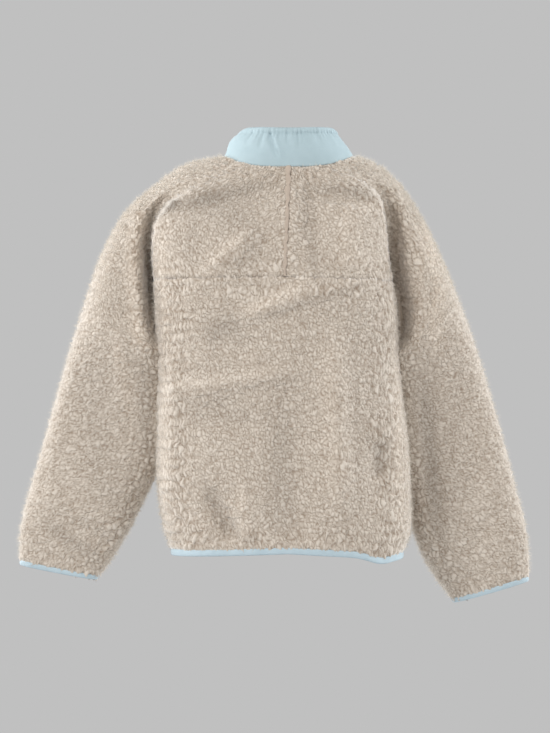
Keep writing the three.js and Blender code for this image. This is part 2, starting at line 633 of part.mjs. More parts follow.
/** A strip of the zip from one distance off its middle to another, towards the wearer's left. */
function zipStrip(from, to) {
  return new Sheet(opening.map(([left, right]) => {
    const middle = middleOf(left, right);
    const across = left.clone().sub(middle);
    const reach = across.length() - 2 * SEAM;
    across.normalize();
    return [from, to].map((x) =>
      middle.clone().addScaledVector(across, Math.min(Math.max(x, -reach), reach)));
  }));
}

/** A closed mesh as a solid of the boolean library, and back. */
const solidTools = await Module();
solidTools.setup();
function toSolid(geometry) {
  const bare = geometry.clone().deleteAttribute('normal').deleteAttribute('uv');
  const merged = mergeVertices(bare);
  return new solidTools.Manifold(new solidTools.Mesh({
    numProp: 3,
    vertProperties: merged.attributes.position.array,
    triVerts: new Uint32Array(merged.index.array),
  }));
}
function toGeometry(solid) {
  const mesh = solid.getMesh();
  const geometry = new THREE.BufferGeometry();
  geometry.setAttribute('position', new THREE.BufferAttribute(mesh.vertProperties, 3));
  geometry.setIndex(new THREE.BufferAttribute(mesh.triVerts, 1));
  return geometry;
}

/** A rounded rectangle about a point, as a shape or a hole. */
function roundedRectangle(path, middleX, middleY, width, height, corner) {
  const [x, y] = [middleX - width / 2, middleY - height / 2];
  const quarter = Math.PI / 2;
  path.moveTo(x + corner, y);
  path.absarc(x + width - corner, y + corner, corner, -quarter, 0);
  path.absarc(x + width - corner, y + height - corner, corner, 0, quarter);
  path.absarc(x + corner, y + height - corner, corner, quarter, 2 * quarter);
  path.absarc(x + corner, y + corner, corner, 2 * quarter, 3 * quarter);
  path.closePath();
  return path;
}

const CURVE_STEPS = 4;
const extrude = (shape, depth) =>
  new THREE.ExtrudeGeometry(shape, { depth, bevelEnabled: false, curveSegments: CURVE_STEPS });

/** The slider about the pull's axis: x across, y inward, z up the zip. */
function sliderGeometry() {
  const plateTop = BRIDGE.eyeHeight / 2;
  const outline = roundedRectangle(new THREE.Shape(), 0, 0, SLIDER.width, SLIDER.length, SLIDER.corner);
  const plate = extrude(outline, SLIDER.plate);
  plate.rotateX(Math.PI / 2);
  plate.translate(0, plateTop + SLIDER.plate, 0);
  const outer = -BRIDGE.eyeHeight / 2 - BRIDGE.beam;
  const inner = plateTop + SLIDER.plate / 2;
  const middle = (outer + inner) / 2;
  const side = roundedRectangle(new THREE.Shape(), 0, middle, BRIDGE.length, inner - outer, BRIDGE.corner);
  side.holes.push(roundedRectangle(new THREE.Path(), 0, 0, BRIDGE.eyeLength, BRIDGE.eyeHeight, EYE_CORNER));
  const bridge = extrude(side, BRIDGE.width);
  bridge.translate(0, 0, -BRIDGE.width / 2);
  bridge.rotateY(-Math.PI / 2);
  return toGeometry(toSolid(plate).add(toSolid(bridge)));
}

/** The pull tab about its own axis, hanging down in front of the zip. */
function pullGeometry() {
  const middle = (PULL.bar - PULL.length) / 2;
  const shape = roundedRectangle(new THREE.Shape(), 0, middle, PULL.width, PULL.length, PULL.corner);
  const eyeMiddle = -(PULL.bar + PULL.eyeLength) / 2;
  shape.holes.push(roundedRectangle(new THREE.Path(), 0, eyeMiddle, PULL.eyeWidth, PULL.eyeLength, EYE_CORNER));
  const tab = extrude(shape, PULL.thick);
  tab.translate(0, 0, -PULL.thick / 2);
  tab.rotateX(Math.PI / 2);
  return tab;
}

// ---------------------------------------------------------------- the part
const FINISH = {
  fleece: { color: 0xcdbfae, roughness: 1, metalness: 0 },
  woven: { color: 0xb7cfd5, roughness: 0.75, metalness: 0 },
  binding: { color: 0xb9d0de, roughness: 0.85, metalness: 0 },
  tape: { color: 0xb8ab9f, roughness: 0.85, metalness: 0 },
  resin: { color: 0xb5a696, roughness: 0.45, metalness: 0 },
  metal: { color: 0x9a8f84, roughness: 0.4, metalness: 0.6 },
};
const jacket = new THREE.Group();

function add(name, geometry, finish) {
  const mesh = new THREE.Mesh(geometry, new THREE.MeshStandardMaterial(FINISH[finish]));
  mesh.name = name;
  jacket.add(mesh);
  return mesh;
}

for (const name of ['back_lower', 'back_yoke_left', 'back_yoke_right', 'front_left', 'front_right',
  'sleeve_left', 'sleeve_right']) {
  add(name, SHEETS[name].wall(FLEECE), 'fleece');
}
add('collar', SHEETS.collar.wall(WOVEN), 'woven');
add('hem_binding', SHEETS.hem_binding.wall(BINDING.wall, BINDING.below), 'binding');
add('cuff_binding_left', SHEETS.cuff_binding_left.wall(BINDING.wall, BINDING.below), 'binding');
add('cuff_binding_right', SHEETS.cuff_binding_right.wall(BINDING.wall, BINDING.below), 'binding');
add('centre_back_tape', SHEETS.centre_back_tape.wall(BACK_TAPE.wall, BACK_TAPE.below), 'tape');
add('zip_tape_left', zipStrip(ZIP.chainHalf + SEAM, ZIP.opening).wall(ZIP.tapeWall, ZIP.tapeBelow), 'tape');
add('zip_tape_right', zipStrip(-ZIP.opening, -ZIP.chainHalf - SEAM).wall(ZIP.tapeWall, ZIP.tapeBelow), 'tape');
add('zip_chain', zipStrip(-ZIP.chainHalf, ZIP.chainHalf).wall(ZIP.chainWall, ZIP.chainBelow), 'resin');

// The slider sits on the zip's top straight stretch.
const [zipTop, zipNext] = opening.slice(0, 2).map(([left, right]) => middleOf(left, right));
const upZip = zipTop.clone().sub(zipNext).normalize();
const lean = Math.atan2(-upZip.y, upZip.z);
const outOfZip = new THREE.Vector3(0, -Math.cos(lean), -Math.sin(lean));
const aboveZip = -ZIP.chainBelow + SLIDER.gap + SLIDER.plate + BRIDGE.eyeHeight / 2;
const pullAxis = middleOf(zipTop, zipNext).addScaledVector(outOfZip, aboveZip);
for (const piece of [add('zip_slider', sliderGeometry(), 'metal'), add('zip_pull', pullGeometry(), 'metal')]) {
  piece.position.copy(pullAxis);
  piece.rotation.x = lean;
}

export default jacket;
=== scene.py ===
"""Fleece jacket: curly pile, woven collar, bound edges and a closed zip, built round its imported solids."""

import logging
import math
from abc import ABC, abstractmethod
from dataclasses import dataclass
from enum import Enum
from typing import Callable

import bmesh
import bpy
import numpy as np
from bpy.types import Material, Node, NodeSocket, NodeTree, Object
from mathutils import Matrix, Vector


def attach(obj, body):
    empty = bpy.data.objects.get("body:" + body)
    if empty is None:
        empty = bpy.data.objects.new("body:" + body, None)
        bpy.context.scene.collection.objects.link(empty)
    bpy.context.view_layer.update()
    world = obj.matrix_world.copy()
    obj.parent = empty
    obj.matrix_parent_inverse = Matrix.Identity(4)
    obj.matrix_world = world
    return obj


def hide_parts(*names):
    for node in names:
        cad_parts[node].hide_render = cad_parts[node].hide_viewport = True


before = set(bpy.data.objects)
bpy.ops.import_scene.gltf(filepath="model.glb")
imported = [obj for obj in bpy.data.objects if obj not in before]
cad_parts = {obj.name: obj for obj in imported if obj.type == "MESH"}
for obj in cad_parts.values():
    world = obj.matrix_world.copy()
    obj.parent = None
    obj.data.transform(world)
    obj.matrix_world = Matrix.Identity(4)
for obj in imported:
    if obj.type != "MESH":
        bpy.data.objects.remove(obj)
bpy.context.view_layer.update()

LOG = logging.getLogger("jacket")
Array = np.ndarray
Pair = tuple[float, float]
Triple = tuple[float, float, float]
Colour = tuple[float, float, float, float]
Entries = tuple[tuple[float, ...], ...]
Values = dict[str | int, object]  # a shader node's inputs, by name or number
MM = 0.001  # the tables and sizes below are in millimetres, Blender's meshes in metres
SEAM = 0.3  # clearance between two pieces at a seam
TINY = 1e-9  # keeps a length of nothing from dividing by nothing

# Rows run down the garment: 0 at the neck, YOKE at the yoke seam, UNDERARM, HEM and CUFF.
YOKE = 7
UNDERARM = 10
HEM = 20
CUFF = 22
NECK_FADE = 2  # rows over which a sleeve's neck edge fades into its plain sections
UNDERARM_FADE = 3  # rows over which the underarm's own place fades out below it
# Below the underarm a sleeve's section squares off, over a few rows from one row.
SQUARE_FROM = 8
SQUARE_ROWS = 4
SQUARE_POWER = 0.6
# Distances at the openings, in millimetres.
FRONT_GAP = 11.0  # from the centre line to a front's edge, where the zip is
TAPE_GAP = (4.8, 3.2)  # from the centre line to a yoke's edge, at the neck and at the yoke seam
HEM_DOWN = np.array([0.0, 0.0, -11.0])  # from the hem seam to the hem binding's lower edge
CUFF_HEIGHT = 9.0  # of the cuff bindings
# Shares and rows over which folds fade.
FOLD_FADE = 0.25  # of a fold's length, inside and beyond its ends
SIDE_FADE = 0.25  # of a half's width, up to its seam
EDGE_FADE = 2  # rows, at the neck and hem
FINE_STEPS = 500  # samples along the cloth when it is divided evenly
PANEL_SHIFT = 911.0  # parts one panel's pattern from the next's, in millimetres


# ---------------------------------------------------------------- curves and tables
def clamp01(value: Array) -> Array:
    """Keeps values between 0 and 1."""
    return np.clip(value, 0.0, 1.0)


def smooth(value: Array) -> Array:
    """A soft step from 0 to 1."""
    kept = clamp01(value)
    return kept**2 * (3 - 2 * kept)


def bell(offset: Array, width: float) -> Array:
    """A bell curve of height 1 about zero."""
    return np.exp(-((offset / width) ** 2))


def shelf(offset: Array, width: float, power: float = 3.2) -> Array:
    """Like a bell curve, but flat on top and steep at its ends."""
    return np.exp(-np.abs(offset / width) ** power)


def unit(ways: Array) -> Array:
    """Directions of length 1."""
    return ways / np.maximum(np.linalg.norm(ways, axis=-1, keepdims=True), TINY)


def walked(line: Array) -> Array:
    """Distance walked along a line of points, from 0 at its start."""
    return np.concatenate([[0.0], np.cumsum(np.linalg.norm(np.diff(line, axis=0), axis=-1))])


def read_line(line: Array, stops: Array, so_far: Array) -> Array:
    """Points of a line at stops, where so_far is the distance walked at each of its points."""
    return np.stack([np.interp(stops, so_far, line[:, k]) for k in range(line.shape[1])], axis=-1)


def resampled(line: Array, count: int) -> Array:
    """A line of points, spaced evenly along its length."""
    so_far = walked(line)
    return read_line(line, np.linspace(0, so_far[-1], count), so_far)


@dataclass(frozen=True)
class Table:
    """A short table with named columns, read along a smooth curve through its entries."""

    names: str
    entries: Entries

    def column(self, name: str) -> Array:
        """One column's numbers."""
        place = self.names.split().index(name)
        return np.array([entry[place] for entry in self.entries], dtype=float)

    def read(self, rows: Array, name: str) -> Array:
        """Reads one column at any rows.

        Args:
            rows: where to read, in the numbers of the row column.
            name: the column.

        Returns:
            The column's values there.
        """
        knots, values = self.column("row"), self.column(name)
        last = len(knots) - 1
        before = np.maximum(np.arange(last + 1) - 1, 0)
        after = np.minimum(np.arange(last + 1) + 1, last)
        slopes = (values[after] - values[before]) / (knots[after] - knots[before])
        i = np.clip(np.searchsorted(knots, rows, side="left") - 1, 0, last - 1)
        span = knots[i + 1] - knots[i]
        t = (rows - knots[i]) / span
        return (
            (1 + 2 * t) * (1 - t) ** 2 * values[i]
            + t * (1 - t) ** 2 * span * slopes[i]
            + t * t * (3 - 2 * t) * values[i + 1]
            + t * t * (t - 1) * span * slopes[i + 1]
        )

    def place(self, rows: Array) -> Array:
        """The x, y and z columns at any rows, stacked in the last axis."""
        return np.stack([self.read(rows, name) for name in "xyz"], axis=-1)


BACK_CENTRE = Table(
    "row x y z",
    (
        (0, 0, 62, -22), (2, 1, 88, -70), (4, 3, 106, -124), (7, 6, 118, -206), (10, 7, 116, -318),
        (14, 6, 109, -450), (17, 4, 109, -548), (20, 1, 113, -643),
    ),
)
FRONT_CENTRE = Table(
    "row x y z",
    (
        (0, 0, -75, -72), (2, 1, -98, -112), (4, 3, -114, -158), (7, 6, -128, -232),
        (10, 7, -130, -325), (14, 6, -124, -452), (17, 4, -119, -550), (20, 1, -118, -648),
    ),
)
RAGLAN_BACK_LEFT = (
    (1, 102, 54, -34), (2, 138, 60, -48), (3, 172, 62, -62), (4, 205, 60, -84), (5, 224, 52, -116),
    (6, 228, 40, -158), (7, 224, 30, -208), (8, 221, 22, -245), (9, 219, 11, -284), (10, 218, -2, -320),
)
RAGLAN_BACK_RIGHT = (
    (1, -82, 52, -30), (2, -108, 58, -40), (3, -134, 60, -53), (4, -154, 56, -72), (5, -163, 46, -108),
    (6, -167, 35, -154), (7, -174, 25, -210), (8, -180, 17, -250), (9, -182, 8, -292),
    (10, -185, -4, -328),
)
RAGLAN_FRONT_LEFT = (
    (1, 108, -60, -42), (2, 138, -68, -62), (3, 166, -73, -86), (4, 189, -73, -116),
    (5, 204, -68, -150), (6, 212, -60, -188), (7, 216, -50, -226), (8, 218, -38, -260),
    (9, 219, -22, -294), (10, 218, -2, -320),
)
RAGLAN_FRONT_RIGHT = (
    (1, -96, -60, -42), (2, -118, -68, -62), (3, -138, -72, -86), (4, -154, -72, -118),
    (5, -165, -67, -154), (6, -172, -59, -192), (7, -177, -49, -230), (8, -181, -37, -264),
    (9, -184, -22, -300), (10, -185, -4, -328),
)
SIDE_LEFT = Table(
    "row x y z",
    (
        (10, 218, -2, -320), (12, 217, -4, -382), (15, 218, -5, -482), (17, 216, -4, -546),
        (19, 206, -3, -616), (20, 195, -2, -651),
    ),
)
SIDE_RIGHT = Table(
    "row x y z",
    (
        (10, -185, -4, -328), (12, -190, -5, -392), (15, -200, -4, -488), (17, -203, -3, -553),
        (19, -203, -2, -622), (20, -192, -2, -655),
    ),
)
# How a row of the body rounds from the centre line to its side.
ROUNDING = Table(
    "row turn flat rise",
    ((0, 0, 1, 3), (3, 0.55, 0.9, 1.8), (7, 0.92, 0.76, 1.3), (10, 1, 0.72, 1), (20, 1, 0.72, 1)),
)
SLEEVE_COLUMNS = "row out_x out_z under_x under_z y depth swell pull"
SLEEVE_LEFT = Table(
    SLEEVE_COLUMNS,
    (
        (0, 105, 0, 218, -320, -6, 62, 0, 1.2), (2, 174, -18, 218, -320, -5, 64, 4, 1.2),
        (4, 231, -59, 218, -320, -4, 65, 10, 1.6), (6, 273, -101, 218, -320, -6, 65, 16, 2.6),
        (8, 309, -166, 218, -320, -10, 64, 14, 3.4), (10, 337, -243, 218, -320, -18, 61, 10, 3.4),
        (12, 363, -322, 218, -366, -30, 57, 5, 3), (14, 387, -402, 217, -440, -41, 52, 2, 3),
        (16, 410, -482, 224, -523, -47, 48, 0, 3), (18, 431, -552, 250, -592, -50, 43, 0, 3),
        (20, 448, -617, 282, -652, -52, 37, 0, 3), (22, 451, -675, 315, -702, -53, 28, 0, 3),
    ),
)
SLEEVE_RIGHT = Table(
    SLEEVE_COLUMNS,
    (
        (0, -108, 0, -185, -328, -6, 62, 0, 1.2), (2, -153, -18, -185, -328, -5, 63, 4, 1.2),
        (4, -190, -55, -185, -328, -7, 64, 10, 1.6), (6, -222, -105, -185, -328, -12, 64, 16, 2.6),
        (8, -253, -167, -185, -328, -20, 62, 14, 3.4), (10, -283, -237, -185, -328, -31, 60, 10, 3.4),
        (12, -312, -313, -192, -376, -43, 57, 5, 3), (14, -337, -391, -195, -452, -53, 53, 2, 3),
        (16, -360, -469, -198, -528, -59, 49, 0, 3), (18, -382, -551, -206, -602, -63, 44, 0, 3),
        (20, -402, -630, -228, -670, -66, 38, 0, 3), (22, -407, -703, -274, -742, -68, 28, 0, 3),
    ),
)

# Folds: a soft ridge (height > 0) or trough between two places of a panel, seen square on.
FOLD_COLUMNS = "x1 z1 x2 z2 width height"
BACK_FOLDS = Table(
    FOLD_COLUMNS,
    (
        (58, -266, -96, -222, 11, 5), (150, -222, 52, -150, 13, 3.5), (186, -392, -10, -362, 13, 4),
        (-72, -330, -88, -585, 20, 6), (-8, -390, -24, -640, 22, -6), (120, -560, 92, -640, 16, -7),
        (-136, -470, -150, -570, 18, -5), (150, -430, 40, -446, 20, -3.5),
        (-30, -60, -34, -150, 15, -4),
    ),
)
FRONT_FOLDS = Table(
    FOLD_COLUMNS,
    (
        (150, -300, 50, -420, 15, 4.5), (-140, -310, -60, -400, 15, 4), (120, -470, 96, -630, 20, -6),
        (-92, -450, -104, -630, 20, 5.5),
    ),
)


# ---------------------------------------------------------------- the garment's form
@dataclass(frozen=True)
class Neck:
    """The neck seam: an oval that drops at the back and front."""

    left: float = 105
    right: float = 108
    middle_y: float = -6.5
    half_depth: float = 68.5
    back_drop: float = 22
    front_drop: float = 72

    def point(self, angle: Array) -> Array:
        """A point of the seam; angle 0 is the centre back, 90 the left side, 180 the front."""
        sine, cosine = np.sin(np.radians(angle)), np.cos(np.radians(angle))
        drop = np.where(cosine > 0, self.back_drop, self.front_drop)
        x = sine * np.where(sine > 0, self.left, self.right)
        y = self.middle_y + self.half_depth * cosine
        return np.stack([x, y, -drop * (1 - np.abs(sine) ** 3)], axis=-1)


NECK = Neck()


@dataclass(frozen=True)
class HemDroop:
    """Where the hem sags at one side."""

    x: float = -152
    width: float = 28
    depth: float = 9
    rows: float = 4


def fold_height(folds: Table, x: Array, z: Array) -> Array:
    """Height of all folds of a panel at places seen square on.

    Args:
        folds: the table of ridges and troughs.
        x: places across, in millimetres.
        z: places up, in millimetres.

    Returns:
        The height at each place, in millimetres.
    """
    height = np.zeros_like(x)
    for x1, z1, x2, z2, width, tall in folds.entries:
        along_x, along_z = x2 - x1, z2 - z1
        length = math.hypot(along_x, along_z)
        t = ((x - x1) * along_x + (z - z1) * along_z) / length**2
        off = ((x - x1) * along_z - (z - z1) * along_x) / length
        ends = smooth((t + FOLD_FADE) / (2 * FOLD_FADE)) * smooth((1 + FOLD_FADE - t) / (2 * FOLD_FADE))
        height = height + tall * ends * bell(off, width)
    return height


@dataclass(frozen=True)
class HalfBody:
    """One half of the back or front, from the centre line to its raglan and side seam."""

    centre: Table
    raglan: Entries
    side: Table
    neck_angle: float
    neck_turn: float
    folds: Table
    droop: HemDroop = HemDroop()

    def seam(self) -> Table:
        """The raglan seam from the neck curve to the underarm."""
        start = NECK.point(np.array(self.neck_angle))
        return Table("row x y z", ((0.0, *start), *self.raglan))

    def edge(self, rows: Array) -> Array:
        """The half's edge: the raglan seam down to the underarm, then the side seam."""
        raglan = self.seam().place(np.minimum(rows, UNDERARM))
        side = self.side.place(np.maximum(rows, UNDERARM))
        return np.where((rows <= UNDERARM)[..., None], raglan, side)

    def point(self, rows: Array, across: Array, gap: Array) -> Array:
        """Points of the half's outer face.

        Args:
            rows: rows, which broadcast with across.
            across: 0 at the centre line to 1 at the seam.
            gap: distance from the centre line at which across begins, in millimetres.

        Returns:
            The points, in millimetres, with x, y and z in the last axis.
        """
        rows, across = np.broadcast_arrays(rows, across)
        middle, edge = self.centre.place(rows), self.edge(rows)
        turn = self.neck_turn + (90 - self.neck_turn) * clamp01(ROUNDING.read(rows, "turn"))
        turn, flat = np.radians(turn), ROUNDING.read(rows, "flat")
        reach = np.sin(turn)
        width = np.abs(edge[..., 0] - middle[..., 0])
        first = np.arcsin(gap * reach / width)
        angle = first + (turn - first) * across
        low = np.maximum(np.cos(turn), 0) ** flat
        bulge = (np.maximum(np.cos(angle), 0) ** flat - low) / (1 - low)
        share = np.maximum(np.sin(angle) / reach, 0)
        x = middle[..., 0] + (edge[..., 0] - middle[..., 0]) * share
        y = edge[..., 1] + (middle[..., 1] - edge[..., 1]) * bulge
        rise = share ** ROUNDING.read(rows, "rise")
        z = middle[..., 2] + (edge[..., 2] - middle[..., 2]) * rise
        sag = smooth((rows - HEM + self.droop.rows) / self.droop.rows)
        z = z - sag * self.droop.depth * bell(x - self.droop.x, self.droop.width)
        ends = smooth(rows / EDGE_FADE) * smooth((HEM + 1 - rows) / EDGE_FADE)
        calm = smooth((1 - across) / SIDE_FADE) * ends
        y = y + np.sign(middle[..., 1]) * calm * fold_height(self.folds, x, z)
        return np.stack([x, y, z], axis=-1)


BACK_LEFT = HalfBody(BACK_CENTRE, RAGLAN_BACK_LEFT, SIDE_LEFT, 42.5, 42.5, BACK_FOLDS)
BACK_RIGHT = HalfBody(BACK_CENTRE, RAGLAN_BACK_RIGHT, SIDE_RIGHT, -34, 34, BACK_FOLDS)
FRONT_LEFT = HalfBody(FRONT_CENTRE, RAGLAN_FRONT_LEFT, SIDE_LEFT, 130, 50, FRONT_FOLDS)
FRONT_RIGHT = HalfBody(FRONT_CENTRE, RAGLAN_FRONT_RIGHT, SIDE_RIGHT, -132, 48, FRONT_FOLDS)


def sleeve_section(table: Table, rows: Array, turn: Array) -> Array:
    """Points of plain sleeve sections; turn 0 is the outer edge, 90 the back, 180 the under edge."""
    outer = np.stack([table.read(rows, "out_x"), table.read(rows, "out_z")], axis=-1)
    under = np.stack([table.read(rows, "under_x"), table.read(rows, "under_z")], axis=-1)
    half = (outer - under) / 2
    outward = np.stack([half[..., 1], -half[..., 0]], axis=-1)
    outward = unit(outward) * np.sign(outward[..., :1] * outer[..., :1])
    sine, cosine = np.sin(np.radians(turn)), np.cos(np.radians(turn))
    flat = (outer + under) / 2 + half * cosine[..., None]
    flat = flat + outward * (table.read(rows, "swell") * sine**2)[..., None]
    power = 1 + (SQUARE_POWER - 1) * smooth((rows - SQUARE_FROM) / SQUARE_ROWS)
    y = table.read(rows, "y") + table.read(rows, "depth") * np.sign(sine) * np.abs(sine) ** power
    return np.stack([flat[..., 0], y, flat[..., 1]], axis=-1)


def seam_turn(table: Table, rows: Array, seam: Array) -> Array:
    """How far round its section a sleeve row reaches before it meets a raglan seam."""
    zero = np.zeros_like(rows, dtype=float)
    outer, under = sleeve_section(table, rows, zero), sleeve_section(table, rows, zero + 180)
    axis, middle = (outer - under)[..., ::2] / 2, (outer + under)[..., ::2] / 2
    cosine = np.sum((seam[..., ::2] - middle) * axis, -1) / np.sum(axis * axis, -1)
    return np.degrees(np.arccos(np.clip(cosine, -1, 1)))


@dataclass(frozen=True)
class SleeveForm:
    """A raglan sleeve: across runs from -1, the back seam, over the shoulder line to 1."""

    table: Table
    back: HalfBody
    front: HalfBody
    neck_middle: float

    def plain(self, rows: Array, across: Array) -> Array:
        """Points of the outer face before the neck edge is shaped."""
        rows, across = np.broadcast_arrays(rows, across)
        share, turned = np.abs(across), np.empty(rows.shape + (3,))
        seam_rows = np.minimum(rows, UNDERARM)
        for half, way, side in ((self.back, 1, across < 0), (self.front, -1, across >= 0)):
            seam = half.edge(seam_rows)
            reach = seam_turn(self.table, seam_rows, seam)
            inward = seam - sleeve_section(self.table, seam_rows, way * reach)
            inward = inward * (1 - smooth((rows - UNDERARM) / UNDERARM_FADE))[..., None]
            point = sleeve_section(self.table, rows, way * reach * share)
            point = point + inward * (share ** self.table.read(rows, "pull"))[..., None]
            turned = np.where(side[..., None], point, turned)
        return turned

    def point(self, rows: Array, across: Array) -> Array:
        """Points of the outer face, in millimetres."""
        rows, across = np.broadcast_arrays(rows, across)
        first = np.where(across < 0, self.back.neck_angle, self.front.neck_angle)
        edge = NECK.point(self.neck_middle + (first - self.neck_middle) * np.abs(across))
        fade = (1 - smooth(rows / NECK_FADE))[..., None]
        return self.plain(rows, across) + (edge - self.plain(rows * 0.0, across)) * fade


LEFT_SLEEVE = SleeveForm(SLEEVE_LEFT, BACK_LEFT, FRONT_LEFT, 90)
RIGHT_SLEEVE = SleeveForm(SLEEVE_RIGHT, BACK_RIGHT, FRONT_RIGHT, -90)


# ---------------------------------------------------------------- grids of cloth
Surface = Callable[[Array, Array], Array]


@dataclass
class Grid:
    """Points of a cloth surface in rows and columns, with their outward normals."""

    points: Array
    normals: Array
    rows: Array
    across: Array

    @property
    def shape(self) -> tuple[int, int]:
        """Number of rows and columns."""
        return self.points.shape[:2]

    def travel(self, axis: int) -> Array:
        """Distance walked on the cloth along an axis of the grid, in millimetres."""
        steps = np.linalg.norm(np.diff(self.points, axis=axis), axis=-1)
        start = np.zeros_like(np.take(steps, [0], axis=axis))
        return np.concatenate([start, np.cumsum(steps, axis=axis)], axis=axis)

    def edges(self) -> tuple[Array, Array]:
        """Distances to the nearer edge across and down, in millimetres."""
        over, down = self.travel(1), self.travel(0)
        return np.minimum(over, over[:, -1:] - over), np.minimum(down, down[-1:] - down)


def even_steps(surface: Surface, low: float, high: float, fixed: Array, down: bool, stops: Array) -> Array:
    """Parameters at given shares of the way over the cloth.

    Args:
        surface: the cloth's outer face.
        low: first value of the parameter.
        high: last value of the parameter.
        fixed: values of the other parameter at which distance is measured.
        down: whether the parameter is the row rather than across.
        stops: where values are wanted, as shares of the distance from 0 to 1.

    Returns:
        The values, from low to high.
    """
    fine = np.linspace(low, high, FINE_STEPS)
    grid = surface(fine[:, None], fixed[None, :]) if down else surface(fixed[:, None], fine[None, :])
    grid = grid if down else np.swapaxes(grid, 0, 1)
    steps = np.linalg.norm(np.diff(grid, axis=0), axis=-1).mean(axis=1)
    so_far = np.concatenate([[0.0], np.cumsum(steps)])
    return np.interp(stops * so_far[-1], so_far, fine)


def turned_share(normals: Array, limit: float, over: float) -> Array:
    """0 where cloth faces the back or front, to 1 where it turns to the side.

    Args:
        normals: the cloth's outward normals.
        limit: the normal's part along y at which cloth begins to count as turned.
        over: how much smaller that part is where it counts in full.

    Returns:
        The share at each place.
    """
    return smooth((limit - np.abs(normals[..., 1])) / over)


def grid_normals(points: Array, flipped: bool) -> Array:
    """Outward normals of a grid of points."""
    normal = unit(np.cross(np.gradient(points, axis=0), np.gradient(points, axis=1)))
    return -normal if flipped else normal


def soften(values: Array, passes: int) -> Array:
    """Smooths a grid of values, keeping its edge as it is."""
    kept = values.copy()
    for _ in range(passes):
        inner = kept[:-2, 1:-1] + kept[2:, 1:-1] + kept[1:-1, :-2] + kept[1:-1, 2:]
        kept[1:-1, 1:-1] = 0.5 * kept[1:-1, 1:-1] + 0.125 * inner
    return kept


def put(name: str, data: bpy.types.ID) -> Object:
    """Makes an object of some data and links it to the scene."""
    thing = bpy.data.objects.new(name, data)
    bpy.context.scene.collection.objects.link(thing)
    return thing


def new_grid_mesh(name: str, points: Array, flipped: bool) -> Object:
    """Makes a mesh from a grid of points.

    Args:
        name: the piece's name.
        points: rows and columns of places, in millimetres.
        flipped: whether the face order is turned round so that faces point out.

    Returns:
        The new object, linked to the scene.
    """
    rows, columns = points.shape[:2]
    mesh = bpy.data.meshes.new(name)
    work = bmesh.new()
    bmesh.ops.create_grid(work, x_segments=columns - 1, y_segments=rows - 1, size=1, calc_uvs=True)
    work.to_mesh(mesh)
    work.free()
    mesh.vertices.foreach_set("co", (points.reshape(-1, 3) * MM).ravel())
    mesh.polygons.foreach_set("use_smooth", np.ones(len(mesh.polygons), dtype=bool))
    if flipped:
        mesh.flip_normals()
    mesh.update()
    return put(name, mesh)


def add_wall(piece: Object, wall: float) -> None:
    """Gives a sheet its wall, inward; wall is in millimetres."""
    solid = piece.modifiers.new("wall", "SOLIDIFY")
    solid.thickness, solid.offset = wall * MM, -1


def set_uv(piece: Object, across: Array, down: Array) -> None:
    """Lays the piece's UV map out in metres on the cloth."""
    mesh = piece.data
    if not mesh.uv_layers:
        mesh.uv_layers.new(name="UVMap")
    corner = np.empty(len(mesh.loops), dtype=np.int32)
    mesh.loops.foreach_get("vertex_index", corner)
    places = np.stack([across.ravel(), down.ravel()], axis=-1)[corner] * MM
    mesh.uv_layers[0].data.foreach_set("uv", places.ravel().astype(np.float32))


def set_attribute(piece: Object, name: str, values: Array) -> None:
    """Stores one number per vertex for the piece's material."""
    layer = piece.data.attributes.new(name, "FLOAT", "POINT")
    layer.data.foreach_set("value", values.ravel().astype(np.float32))


# ---------------------------------------------------------------- the pile
@dataclass(frozen=True)
class Drift:
    """Slow, smooth noise over the cloth, from -1 to 1."""

    seed: int
    length: float  # from one swell to the next, in millimetres
    waves: int = 9
    lengths: Pair = (0.7, 1.5)  # of the shortest and longest wave, as shares of that
    peak: float = 1.6  # height at which the sum of the waves is cut off

    def value(self, across: Array, down: Array) -> Array:
        """The noise at places across and down the cloth, given in millimetres."""
        draw = np.random.default_rng(self.seed)
        total = np.zeros_like(across)
        for _ in range(self.waves):
            heading, phase = draw.uniform(0, math.tau), draw.uniform(0, math.tau)
            along = across * math.cos(heading) + down * math.sin(heading)
            total += np.cos(math.tau * along / (self.length * draw.uniform(*self.lengths)) + phase)
        return np.clip(total / math.sqrt(self.waves), -self.peak, self.peak) / self.peak


@dataclass(frozen=True)
class Sway:
    """A pull on the curls' net that drifts over the cloth, across and down it."""

    seed: int
    length: float  # from one swell to the next, in millimetres
    reach: float  # of the pull, in millimetres

    def pull(self, across: Array, down: Array, seed: int) -> list[Array]:
        """The pull across and the pull down at places on the cloth of the panel with a seed."""
        swells = (Drift(self.seed + 10 * k + seed, self.length) for k in (0, 1))
        return [swell.value(across, down) * self.reach for swell in swells]


